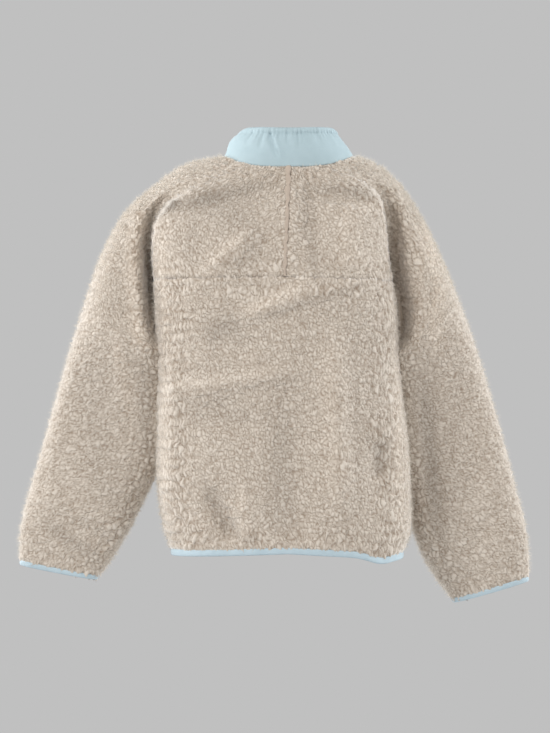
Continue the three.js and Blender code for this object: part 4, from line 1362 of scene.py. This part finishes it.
    def build_ground(self) -> Object:
        """Makes the thin knitted ground under the pile."""
        fine = self.grid(60, 60)
        wide, long = fine.travel(1)[:, -1].max(), fine.travel(0)[-1].max()
        grid = self.grid(int(long / self.ground_step), int(wide / self.ground_step))
        points = grid.points - grid.normals * self.ground_depth
        piece = new_grid_mesh(self.name, points, not self.side.value)
        set_uv(piece, grid.travel(1), grid.travel(0))
        add_wall(piece, self.ground_wall)
        return piece

    def build(self, wardrobe: Wardrobe, body: str) -> None:
        """Makes the panel, dresses it and puts it in place of its solid."""
        ground, (pile, fuzz) = self.build_ground(), self.build_pile()
        ground.data.materials.append(wardrobe.ground)
        pile.data.materials.append(wardrobe.pile)
        fuzz.data.materials.append(wardrobe.fuzz)
        for piece in (ground, pile, fuzz):
            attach(piece, body)
        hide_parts(self.name)
        LOG.info("%s: %d faces of pile, %d fibres", self.name, len(pile.data.polygons), self.fuzz_count)


@dataclass
class BodyPanel(FleecePanel):
    """A panel of the back or front: across below 0 lies on one half, above 0 on the other."""

    halves: tuple[HalfBody, HalfBody] = (BACK_LEFT, BACK_RIGHT)
    sinks: tuple[Sink, Sink] = (LEFT_SINK, RIGHT_SINK)
    gap: Pair = (0.0, 0.0)  # from the centre line, at the panel's top and bottom

    def outer(self, rows: Array, across: Array) -> Array:
        """The panel's outer face, in millimetres."""
        rows, across = np.broadcast_arrays(rows, across)
        gap = self.gap[0] + (self.gap[1] - self.gap[0]) * clamp01(rows / YOKE)
        first = self.halves[0].point(rows, np.abs(across), gap)
        second = self.halves[1].point(rows, np.abs(across), gap)
        return np.where((across < 0)[..., None], first, second)

    def facing(self) -> float:
        """1 for a panel of the back, -1 for one of the front."""
        return float(np.sign(self.halves[0].centre.entries[0][2]))

    def ridges(self) -> Table:
        """The ridges and troughs of the panel, on which the pile opens or closes."""
        return self.halves[0].folds

    def seam_sink(self, grid: Grid) -> Array:
        """How far each place is sunk beside the raglan seams, along y, in millimetres."""
        over = grid.travel(1)
        total = np.zeros(grid.shape)
        rows = np.minimum(grid.rows, UNDERARM)
        for sink, end, share in (
            (self.sinks[0], over, self.across[0]),
            (self.sinks[1], over[:, -1:] - over, self.across[1]),
        ):
            if abs(share) == 1:
                total += sink.depth.read(rows, "depth")[:, None] * shelf(end, sink.body_width)
        return total * self.facing()


@dataclass(frozen=True)
class Tuck:
    """How a sleeve's under edge is pressed against the body below the underarm."""

    across: float = 13.0  # in millimetres
    out: float = 22.0  # towards the back, in millimetres
    reach: float = 0.5  # of the way from the shoulder line to the seam, where it begins
    first_row: float = 8.6
    rows_in: float = 2.0
    last_row: float = 18.0
    rows_out: float = 4.0

    def share(self, rows: Array, across: Array) -> Array:
        """How much of it applies at places of the sleeve, from 0 to 1."""
        under = smooth((np.abs(across) - self.reach) / (1 - self.reach))
        under = under * smooth((rows - self.first_row) / self.rows_in)
        return under * smooth((self.last_row - rows) / self.rows_out)


@dataclass
class SleevePanel(FleecePanel):
    """A one-piece raglan sleeve, from its back seam over the shoulder to its front seam."""

    form: SleeveForm = LEFT_SLEEVE
    sink: Sink = LEFT_SINK
    dense: float = 0.75
    calm: float = 10.0
    tuck: Tuck = Tuck()

    def outer(self, rows: Array, across: Array) -> Array:
        """The sleeve's outer face, in millimetres; its under edge lies against the body."""
        rows, across = np.broadcast_arrays(rows, across)
        point = self.form.point(rows, across).copy()
        under = self.tuck.share(rows, across)
        point[..., 0] -= np.sign(point[..., 0]) * self.tuck.across * under
        point[..., 1] += self.tuck.out * under
        return point

    def ridges(self) -> Table:
        """The ridges and troughs of the panel, on which the pile opens or closes."""
        return self.creases

    def seam_sink(self, grid: Grid) -> Array:
        """How far each place is sunk beside the raglan seams, along y, in millimetres."""
        over = grid.travel(1)
        depth = self.sink.depth.read(np.minimum(grid.rows, UNDERARM), "depth")[:, None]
        back = shelf(over, self.sink.sleeve_width)
        front = shelf(over[:, -1:] - over, self.sink.sleeve_width)
        return depth * (back - front)


BACK_CREASES = Table(
    FOLD_COLUMNS,
    (
        (136, -545, 90, -628, 12, -8), (78, -572, 62, -640, 13, 6), (10, -406, 10, -640, 26, -6),
        (-80, -307, -82, -575, 21, 6), (-151, -475, -151, -531, 16, -7), (181, -428, 80, -415, 15, -4),
        (188, -395, 20, -362, 15, 2), (73, -269, -42, -222, 14, 3.5), (113, -296, 60, -330, 24, -6),
        (130, -189, 61, -138, 13, 6), (164, -98, 20, -62, 15, -6), (-38, -51, -38, -154, 13, -6),
        (-41, -68, -144, -86, 12, -8), (-103, -95, -103, -207, 24, 5), (186, -340, 192, -560, 12, 4),
    ),
)
SLEEVE_CREASES_LEFT = Table(
    FOLD_COLUMNS,
    (
        (247, -80, 260, -165, 11, 5), (260, -165, 234, -310, 11, 6), (276, -302, 280, -440, 13, 5),
        (340, -330, 352, -540, 28, -5), (350, -612, 292, -655, 13, -5), (405, -560, 372, -590, 16, 3),
    ),
)
SLEEVE_CREASES_RIGHT = Table(
    FOLD_COLUMNS,
    (
        (-176, -60, -224, -178, 12, 5), (-224, -178, -214, -310, 12, 6),
        (-228, -373, -246, -570, 20, -5), (-300, -380, -322, -560, 22, -4),
        (-345, -600, -300, -660, 16, -3), (-262, -620, -300, -690, 12, 3),
    ),
)


# Painted shade and painted light on the pile, laid out as folds are: height is its tone, below 0 where it is
# darker.
BACK_PAINTED_SHADING = Table(
    FOLD_COLUMNS,
    (
        (204, -94, 27, -51, 13, -1.0), (-41, -61, -139, -68, 12, -0.9),
        (154, -99, 159, -191, 14, -0.35), (126, -187, 70, -134, 9, 0.5), (43, -128, 80, -207, 16, -0.5),
        (-40, -75, -40, -199, 9, -0.7), (-101, -91, -101, -199, 30, 0.6),
        (66, -265, -28, -211, 13, 0.7), (138, -299, 80, -282, 26, -0.7),
        (182, -401, 13, -357, 12, 0.25), (176, -436, 71, -430, 14, -0.6),
        (133, -556, 96, -619, 9, -0.8), (80, -539, 66, -619, 8, 0.5), (8, -431, 8, -631, 24, -0.6),
        (-73, -315, -73, -564, 26, 0.5), (-153, -478, -153, -526, 14, -0.9),
        (150, -70, 60, -120, 30, -0.7), (226, -106, 180, -80, 10, -1.8),
        (206, -100, 206, -600, 12, 0.5), (-178, -100, -184, -600, 12, 0.6),
    ),
)
SLEEVE_PAINTED_SHADING_LEFT = Table(
    FOLD_COLUMNS,
    (
        (405, -612, 324, -668, 12, -0.7), (330, -340, 310, -560, 30, -0.5),
        (284, -302, 262, -428, 10, 0.5), (240, -350, 230, -500, 14, -0.6),
        (224, -104, 232, -262, 9, -1.7), (240, -96, 258, -200, 13, 1.0),
        (258, -200, 246, -320, 13, 1.0),
    ),
)
SLEEVE_PAINTED_SHADING_RIGHT = Table(
    FOLD_COLUMNS,
    (
        (-226, -384, -246, -612, 14, -0.8), (-252, -360, -272, -612, 30, -0.45),
        (-226, -120, -250, -220, 14, 1.0), (-250, -220, -240, -320, 14, 1.0),
    ),
)


def fleece_panels() -> list[FleecePanel]:
    """The seven fleece panels with their cut sizes."""
    back = {"creases": BACK_CREASES, "painted_shading": BACK_PAINTED_SHADING}
    front = {
        "halves": (FRONT_RIGHT, FRONT_LEFT),
        "sinks": (RIGHT_SINK, LEFT_SINK),
        "gap": (FRONT_GAP, FRONT_GAP),
        "pile_rows": 290,
        "fuzz_count": 6000,
    }
    sleeve = {
        "rows": (0, CUFF),
        "across": (-1, 1),
        "pile_rows": 396,
        "pile_columns": 206,
        "fuzz_count": 29000,
        "open_pile": PileOpening(beside=(36.0, 20.0)),
    }
    return [
        BodyPanel(
            "back_lower", rows=(YOKE, HEM), across=(-1, 1), pile_rows=286, pile_columns=332,
            flat=(0.52, 0.47), cut_area=0.234, seed=1, fuzz_count=14000,
            open_pile=PileOpening(beside=(84.0, 30.0)), **back,
        ),
        BodyPanel(
            "back_yoke_left", rows=(0, YOKE), across=(-1, 0), pile_rows=140, pile_columns=150,
            flat=(0.25, 0.22), cut_area=0.041, seed=2, fuzz_count=3500, gap=TAPE_GAP, **back,
        ),
        BodyPanel(
            "back_yoke_right", rows=(0, YOKE), across=(0, 1), pile_rows=140, pile_columns=126,
            flat=(0.21, 0.22), cut_area=0.034, seed=3, fuzz_count=3000, gap=TAPE_GAP, **back,
        ),
        BodyPanel(
            "front_left", rows=(0, HEM), across=(0, 1), pile_columns=118,
            flat=(0.26, 0.62), cut_area=0.142, seed=4, **front,
        ),
        BodyPanel(
            "front_right", rows=(0, HEM), across=(-1, 0), pile_columns=110,
            flat=(0.25, 0.62), cut_area=0.134, seed=5, **front,
        ),
        SleevePanel(
            "sleeve_left", flat=(0.47, 0.78), cut_area=0.252, seed=6, comb=0.15, cuff_cover=1.2,
            side=Side.TURNED, creases=SLEEVE_CREASES_LEFT, painted_shading=SLEEVE_PAINTED_SHADING_LEFT,
            form=LEFT_SLEEVE, sink=LEFT_SINK, **sleeve,
        ),
        SleevePanel(
            "sleeve_right", flat=(0.47, 0.80), cut_area=0.247, seed=7, comb=0.35, cuff_cover=0.4,
            creases=SLEEVE_CREASES_RIGHT, painted_shading=SLEEVE_PAINTED_SHADING_RIGHT,
            form=RIGHT_SLEEVE, sink=RIGHT_SINK, **sleeve,
        ),
    ]


# ---------------------------------------------------------------- stitches
@dataclass(frozen=True)
class Stitch:
    """One stitch of a seam line, in millimetres."""

    length: float = 2.5
    thick: float = 0.5
    pitch: float = 3.4
    lift: float = 0.1

    def template(self) -> bmesh.types.BMesh:
        """A stitch about the origin, along x."""
        work = bmesh.new()
        bmesh.ops.create_icosphere(work, subdivisions=1, radius=0.5 * MM)
        bmesh.ops.scale(work, vec=(self.length, self.thick, self.thick), verts=work.verts)
        return work

    def line(self, name: str, points: Array, normals: Array) -> Object:
        """Sews stitches evenly along a line of the cloth, given as close points."""
        so_far = walked(points)
        stops = np.arange(self.pitch, so_far[-1] - self.pitch / 2, self.pitch)
        at, out = (read_line(line, stops, so_far) for line in (points, normals))
        return copies(name, self.template(), frames(at + out * self.lift, np.gradient(at, axis=0), out))


# ---------------------------------------------------------------- collar
@dataclass
class Collar:
    """The woven stand collar, drawn in by an elastic in the casing along its top."""

    half_left: float = 76
    half_right: float = 80
    middle_y: float = -11
    half_depth: float = 61
    back_top: float = 44
    front_top: float = -10
    level_to: float = 62
    dip: float = 3.0  # the top edge sags at the centre back
    dip_width: float = 38  # in degrees
    stand_swell: float = 4
    bag: float = 8  # it bags at the left side
    bag_rise: float = 1.6
    straight: float = 0.7  # it stands straighter at both sides
    side_spread: float = 45
    casing_swell: float = 1.2
    casing_from: float = 0.84
    wall: float = 2.6
    columns: int = 420
    rows: int = 30
    foot: float = -0.03  # how far it runs down behind the neck seam, as a share of its height
    stitch_steps: int = 600
    ends: Pair = (174.0, -174.15)  # angles at which the zip opens it
    gather_count: int = 76
    gather_places: Pair = (0.2, 0.8)  # where a gather's middle lies in its step round
    gather_widths: Pair = (0.22, 0.4)  # as shares of that
    gather_depths: Pair = (0.8, 2.3)
    gather_reaches: Pair = (0.1, 0.45)  # down below the casing, as shares of the height
    casing_share: float = 0.8  # how deep gathers are in the casing
    casing_waves: Pair = (0.2, 20)  # how much that varies up the casing, and how fast
    crease_fade: float = 0.3  # share of the height over which a crease fades out at its foot
    crease_top: Pair = (0.03, 0.06)  # how far creases run over the casing line, and fade
    stitch_sink: Pair = (1.0, 0.03)  # depth of the casing line's groove, and its width
    # Long creases below the casing: angle at the top and at the bottom, depth, width, reach down.
    creases: Table = Table(
        "top bottom depth width reach",
        (
            (22, 6, -3.2, 2.4, 0.12), (16, 1, 1.6, 2.8, 0.15), (-10, -12, -1.6, 2.2, 0.4),
            (-5, -7, 1.0, 2.4, 0.3), (2, -2, -0.9, 2.0, 0.45), (-19, -22, -1.2, 2.4, 0.35),
            (31, 27, -1.2, 2.8, 0.3), (-31, -34, -0.9, 2.6, 0.4), (47, 44, -0.9, 3.0, 0.4),
            (-52, -56, 1.0, 3.4, 0.3), (75, 70, -1.0, 3.4, 0.35), (-84, -80, -1.0, 3.4, 0.35),
            (112, 108, -1.1, 3.2, 0.35), (-118, -112, -1.1, 3.2, 0.35), (145, 141, -0.9, 3.0, 0.45),
            (-150, -146, -0.9, 3.0, 0.45),
        ),
    )

    def form(self, angle: Array, up: Array) -> tuple[Array, Array]:
        """The collar's plain face and the way out of it.

        Args:
            angle: degrees round the neck from the centre back, the left positive.
            up: 0 at the neck seam to 1 at the top edge.

        Returns:
            Points in millimetres, and level directions out of the collar.
        """
        angle, up = np.broadcast_arrays(angle, up)
        base = NECK.point(angle)
        sine, cosine = np.sin(np.radians(angle)), np.cos(np.radians(angle))
        level = smooth((np.abs(angle) - self.level_to) / (180 - self.level_to))
        height = self.back_top + (self.front_top - self.back_top) * level
        height = height - self.dip * bell(angle, self.dip_width)
        wide = np.where(sine > 0, self.half_left, self.half_right)
        top = [wide * sine, self.middle_y + self.half_depth * cosine, height]
        out = np.stack([sine, cosine, np.zeros_like(sine)], axis=-1)
        point = base + (np.stack(top, axis=-1) - base) * up[..., None]
        casing = clamp01((up - self.casing_from) / (1 - self.casing_from))
        left, right = (bell(angle - side, self.side_spread) for side in (90, -90))
        stand = self.stand_swell * (1 - self.straight * (left + right))
        swell = stand * np.sin(math.pi * clamp01(up / self.casing_from))
        swell = swell + self.bag * left * np.sin(math.pi * np.maximum(up, 0) ** self.bag_rise)
        return point + out * (swell + self.casing_swell * np.sin(math.pi * casing))[..., None], out

    def gathers(self, angle: Array, up: Array) -> Array:
        """Height of the puckers and creases that the elastic draws in, in millimetres."""
        draw = np.random.default_rng(17)
        above = up - self.casing_from
        total = np.zeros(np.broadcast(angle, up).shape)
        step = 360 / self.gather_count
        varied, fast = self.casing_waves
        for k in range(self.gather_count):
            middle = -180 + step * (k + draw.uniform(*self.gather_places))
            wide, tall = step * draw.uniform(*self.gather_widths), draw.uniform(*self.gather_depths)
            reach = draw.uniform(*self.gather_reaches)
            below = smooth(1 + above / reach) * (above < 0)
            inside = (1 - varied + varied * np.cos(above * fast)) * (above >= 0) * self.casing_share
            total = total - tall * bell(angle - middle, wide) * (below + inside)
        over, fade_over = self.crease_top
        for top, bottom, depth, width, reach in self.creases.entries:
            line = bottom + (top - bottom) * clamp01(up / self.casing_from)
            fade = smooth((up - reach) / self.crease_fade)
            fade = fade * smooth((self.casing_from + over - up) / fade_over)
            total = total + depth * fade * bell(angle - line, width)
        sunk, wide = self.stitch_sink
        return total - sunk * bell(above, wide)

    def build(self, wardrobe: Wardrobe, body: str) -> None:
        """Makes the collar with its casing stitches."""
        angle = np.linspace(*self.ends, self.columns)[None, :]
        up = np.linspace(1, self.foot, self.rows)[:, None]
        point, out = self.form(angle, up)
        point = point + out * self.gathers(angle, up)[..., None]
        cloth = new_grid_mesh("collar", point, True)
        grid = Grid(point, grid_normals(point, False), up[:, 0], angle[0])
        set_uv(cloth, grid.travel(1), grid.travel(0))
        add_wall(cloth, self.wall)
        cloth.data.materials.append(wardrobe.collar)
        seam_up = np.full(self.stitch_steps, self.casing_from)
        seam_angle = np.linspace(self.ends[0] - 1, self.ends[1] + 1, self.stitch_steps)
        line, away = self.form(seam_angle, seam_up)
        line = line + away * (self.gathers(seam_angle, seam_up) + 0.1)[..., None]
        stitches = Stitch().line("collar_casing_stitches", line, away)
        stitches.data.materials.append(wardrobe.thread)
        for piece in (cloth, stitches):
            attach(piece, body)
        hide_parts("collar")
        LOG.info("collar: %d faces of stitches", len(stitches.data.polygons))


# ---------------------------------------------------------------- bindings and tapes
@dataclass
class Band:
    """A narrow band of knit or tape that carries a panel's edge on."""

    name: str
    material: str  # which of the wardrobe's materials dresses it
    slot: str
    flat: Pair
    wall: float
    below: float  # how far its face lies under the pile's outer face
    rows: int = 6
    columns: int = 120
    pucker: float = 0.35
    crown: float = 0.9  # how far its middle stands out
    area: float | None = None  # of the flat cut, where it isn't a plain rectangle

    def build(self, ring: Array, lower: Array, turned: bool, wardrobe: Wardrobe, body: str) -> None:
        """Makes the band between two lines.

        Args:
            ring: the line where it meets the panel, in millimetres.
            lower: its other edge, point for point.
            turned: whether its faces are turned round.
            wardrobe: the finished materials.
            body: the CAD body that it rides on.
        """
        both = resampled(np.hstack([ring, lower]), self.columns)
        upper, bottom = both[:, :3], both[:, 3:]
        share = np.linspace(0, 1, self.rows)[:, None, None]
        points = upper[None] * (1 - share) + bottom[None] * share
        normals = grid_normals(points, turned)
        grid = Grid(points, normals, share[:, 0, 0], np.arange(self.columns))
        over = grid.travel(1)
        waves = self.pucker * Drift(len(self.name), 14).value(over, grid.travel(0) * 0.4)
        crown = self.crown * np.sin(math.pi * share[..., 0])
        points = points + normals * (waves + crown - self.below)[..., None]
        piece = new_grid_mesh(self.name, points, not turned)
        set_uv(piece, over, grid.travel(0))
        add_wall(piece, self.wall)
        piece.data.materials.append(getattr(wardrobe, self.material))
        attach(piece, body)
        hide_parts(self.name)
        LOG.info("%s: %d columns", self.name, self.columns)


def hem_ring(steps: int = 160) -> Array:
    """The hem line from the left front edge, round the back, to the right front edge."""
    share, row = np.linspace(0, 1, steps), np.full(steps, float(HEM))
    left = FRONT_LEFT.point(row, share, FRONT_GAP)
    back_left = BACK_LEFT.point(row, share[::-1], 0.0)
    back_right = BACK_RIGHT.point(row, share, 0.0)
    right = FRONT_RIGHT.point(row, share[::-1], FRONT_GAP)
    return np.concatenate([left, back_left[1:], back_right[1:], right[1:]])


def cuff_rings(form: SleeveForm, height: float, steps: int = 240) -> tuple[Array, Array]:
    """The cuff line of a sleeve, and the same line carried on by a height."""
    across = np.linspace(-1, 1, steps)
    ring = form.point(np.full(steps, float(CUFF)), across)
    before = form.point(np.full(steps, CUFF - 1.0), across)
    return ring, ring + unit(ring - before) * height


def build_bands(wardrobe: Wardrobe, body: str) -> None:
    """Makes the hem binding, the cuff bindings and the centre-back tape."""
    hem = hem_ring()
    look = {"material": "binding", "slot": "binding", "wall": 3.2, "below": 1.2}
    hem_band = Band("hem_binding", flat=(1.09, 0.0125), columns=400, **look)
    hem_band.build(hem, hem + HEM_DOWN, False, wardrobe, body)
    for name, form, turned in (
        ("cuff_binding_left", LEFT_SLEEVE, True),
        ("cuff_binding_right", RIGHT_SLEEVE, False),
    ):
        cuff = Band(name, flat=(0.345, 0.0105), columns=130, **look)
        cuff.build(*cuff_rings(form, CUFF_HEIGHT), turned, wardrobe, body)
    rows = np.linspace(0.05, YOKE - 0.02, 120)
    gap = TAPE_GAP[0] + (TAPE_GAP[1] - TAPE_GAP[0]) * clamp01(rows / YOKE) - SEAM / 2
    sides = (half.point(rows, 0.0 * rows, gap) for half in (BACK_LEFT, BACK_RIGHT))
    left, right = (PileCut().pull_about(side) for side in sides)
    look = {"material": "tape", "slot": "tape", "wall": 1.4, "below": 0.8, "pucker": 0.15}
    tape = Band("centre_back_tape", flat=(0.012, 0.198), area=0.0016, columns=100, **look)
    tape.build(left, right, True, wardrobe, body)


# ---------------------------------------------------------------- zip
@dataclass
class Zip:
    """The closed zip: two woven tapes, interlocked teeth, and the solid slider and tab."""

    opening: float = FRONT_GAP
    chain_half: float = 3.0
    top: float = 0.93  # share of the collar's height that it reaches
    collar_steps: int = 4
    pitch: float = 2.5
    tooth: Triple = (3.1, 1.5, 2.0)  # across, along, deep
    lap: float = 0.45  # how far a tooth reaches past the middle
    tooth_bevel: float = 0.25
    tooth_sink: float = 2.1  # how far the teeth's middle lies under the fronts' outer faces
    front_steps: int = 121
    steps: int = 560

    def path(self, collar: Collar) -> tuple[Array, Array]:
        """The opening's left and right edge from the collar's top to the hem's foot."""
        share = np.linspace(1, 0, self.collar_steps + 1)[:-1] * self.top
        left = [collar.form(np.full(share.shape, collar.ends[0]), share)[0]]
        right = [collar.form(np.full(share.shape, collar.ends[1]), share)[0]]
        rows = np.linspace(0, HEM, self.front_steps)
        left.append(FRONT_LEFT.point(rows, 0.0 * rows, self.opening))
        right.append(FRONT_RIGHT.point(rows, 0.0 * rows, self.opening))
        left.append(left[1][-1:] + HEM_DOWN)
        right.append(right[1][-1:] + HEM_DOWN)
        both = resampled(np.hstack([np.concatenate(left), np.concatenate(right)]), self.steps)
        return both[:, :3], both[:, 3:]

    def strip(self, left: Array, right: Array, low: float, high: float) -> tuple[Array, Array]:
        """Two lines at distances from the zip's middle, towards the wearer's left."""
        middle, across = (left + right) / 2, left - right
        width = np.linalg.norm(across, axis=-1, keepdims=True)
        way, reach = across / width, width / 2 - 2 * SEAM
        first = middle + way * np.clip(low, -reach, reach)
        return first, middle + way * np.clip(high, -reach, reach)

    def tooth_template(self) -> bmesh.types.BMesh:
        """One moulded tooth: x along the zip, y across, z out."""
        across, along, deep = (size * MM for size in self.tooth)
        work = bmesh.new()
        bmesh.ops.create_cube(work, size=1)
        bmesh.ops.scale(work, vec=(along, across, deep), verts=work.verts)
        bmesh.ops.bevel(
            work,
            geom=work.edges[:],
            offset=self.tooth_bevel * MM,
            offset_type="OFFSET",
            segments=1,
            profile=0.5,
            affect="EDGES",
            material=-1,
        )
        return work

    def build_teeth(self, left: Array, right: Array) -> Object:
        """Makes both rows of teeth, interlocked along the middle."""
        middle = (left + right) / 2
        count = int(walked(middle)[-1] / (self.pitch / 2))
        line = resampled(np.hstack([middle, unit(left - right)]), count)[2:-2]
        way = np.gradient(line[:, :3], axis=0)
        normals = unit(np.cross(way, line[:, 3:]))
        side = np.where(np.arange(len(line)) % 2 == 0, 1.0, -1.0)[:, None]
        offset = self.tooth[0] / 2 - self.lap
        points = line[:, :3] + line[:, 3:] * side * offset - normals * self.tooth_sink
        return copies("zip_teeth", self.tooth_template(), frames(points, way, normals))

    def build(self, collar: Collar, wardrobe: Wardrobe, body: str) -> None:
        """Makes the tapes and teeth, and dresses the slider and tab."""
        left, right = self.path(collar)
        look = {"material": "tape", "slot": "tape", "wall": 1.2, "below": 1.9, "pucker": 0.2, "crown": 0.1}
        for name, low, high in (
            ("zip_tape_left", self.chain_half + SEAM, self.opening),
            ("zip_tape_right", -self.opening, -self.chain_half - SEAM),
        ):
            near, far = self.strip(left, right, low, high)
            tape = Band(name, flat=(0.012, 0.73), area=0.0056, rows=5, columns=330, **look)
            tape.build(near, far, True, wardrobe, body)
        teeth = self.build_teeth(left, right)
        teeth.data.materials.append(wardrobe.teeth)
        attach(teeth, body)
        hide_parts("zip_chain")
        for node in ("zip_slider", "zip_pull"):
            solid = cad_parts[node]
            solid.data.materials.clear()
            solid.data.materials.append(wardrobe.metal)
        LOG.info("zip: %d faces of teeth", len(teeth.data.polygons))


# ---------------------------------------------------------------- studio
@dataclass
class Studio:
    """A plain pale floor, soft light and the camera square on to the back; sizes are in metres."""

    middle_x: float = 0.0216
    middle_z: float = -0.351
    distance: float = 4.0
    frame_height: float = 1.2168  # of the view at the garment's middle
    sensor: float = 36.0  # in millimetres
    floor_size: float = 2.5  # half its side
    floor_drop: float = 1.42
    floor_grey: float = 0.62
    backdrop: float = 0.527  # linear grey of the surroundings

    def camera(self) -> None:
        """Looks along -Y at the back."""
        data = bpy.data.cameras.new("camera")
        data.sensor_fit, data.sensor_height, data.sensor_width = "VERTICAL", self.sensor, self.sensor
        data.lens = self.sensor * self.distance / self.frame_height
        camera = put("camera", data)
        camera.location = (self.middle_x, self.distance, self.middle_z)
        camera.rotation_euler = (math.pi / 2, 0, math.pi)
        bpy.context.scene.camera = camera

    def light(self, name: str, place: Vector, size: float, power: float, colour: tuple) -> None:
        """Adds a soft square light aimed at the garment's middle; place is in metres."""
        data = bpy.data.lights.new(name, "AREA")
        data.shape, data.size, data.energy, data.color = "SQUARE", size, power, colour
        lamp = put(name, data)
        lamp.location = place
        aim = Vector((self.middle_x, 0, self.middle_z)) - place
        lamp.rotation_euler = aim.to_track_quat("-Z", "Y").to_euler()

    def surroundings(self) -> None:
        """Even grey surroundings."""
        world = bpy.data.worlds.new("surroundings")
        world.use_nodes = True
        shade = world.node_tree.nodes["Background"]
        shade.inputs["Color"].default_value = (self.backdrop, self.backdrop, self.backdrop, 1)
        shade.inputs["Strength"].default_value = 1.0
        bpy.context.scene.world = world

    def floor(self) -> None:
        """A pale floor."""
        work = bmesh.new()
        bmesh.ops.create_grid(work, x_segments=1, y_segments=1, size=self.floor_size)
        bmesh.ops.translate(work, vec=(0, 0, -self.floor_drop), verts=work.verts)
        mesh = bpy.data.meshes.new("floor")
        work.to_mesh(mesh)
        work.free()
        material = bpy.data.materials.new("floor")
        material.use_nodes = True
        shader = material.node_tree.nodes["Principled BSDF"]
        shader.inputs["Base Color"].default_value = (self.floor_grey, self.floor_grey, self.floor_grey, 1)
        shader.inputs["Roughness"].default_value = 0.9
        mesh.materials.append(material)
        put("floor", mesh)

    def build(self) -> None:
        """Sets the studio up."""
        bpy.context.scene.view_settings.view_transform = "Standard"
        self.camera()
        self.surroundings()
        self.floor()
        warm, cool = (1.0, 0.995, 0.99), (0.97, 1.0, 1.03)
        for name, place, size, power, colour in (
            ("key", (2.5, 2.3, 1.7), 1.3, 82.0, warm),
            ("right_fill", (-2.6, 2.4, 1.1), 1.3, 34.0, warm),
            ("left_rim", (3.4, -0.9, 0.5), 1.2, 95.0, cool),
            ("right_rim", (-3.4, -0.9, 0.5), 1.2, 95.0, cool),
            ("front_fill", (0.3, -3.2, 1.2), 2.0, 30.0, (1.0, 0.99, 0.98)),
        ):
            self.light(name, Vector(place), size, power, colour)


def main() -> None:
    """Builds the jacket's pieces in order, then the studio."""
    logging.basicConfig(level=logging.INFO, format="%(name)s: %(message)s")
    body = "jacket"
    wardrobe = Wardrobe.sewn()
    for panel in fleece_panels():
        panel.build(wardrobe, body)
    collar = Collar()
    collar.build(wardrobe, body)
    build_bands(wardrobe, body)
    Zip().build(collar, wardrobe, body)
    Studio().build()


if __name__ == "__main__":
    main()
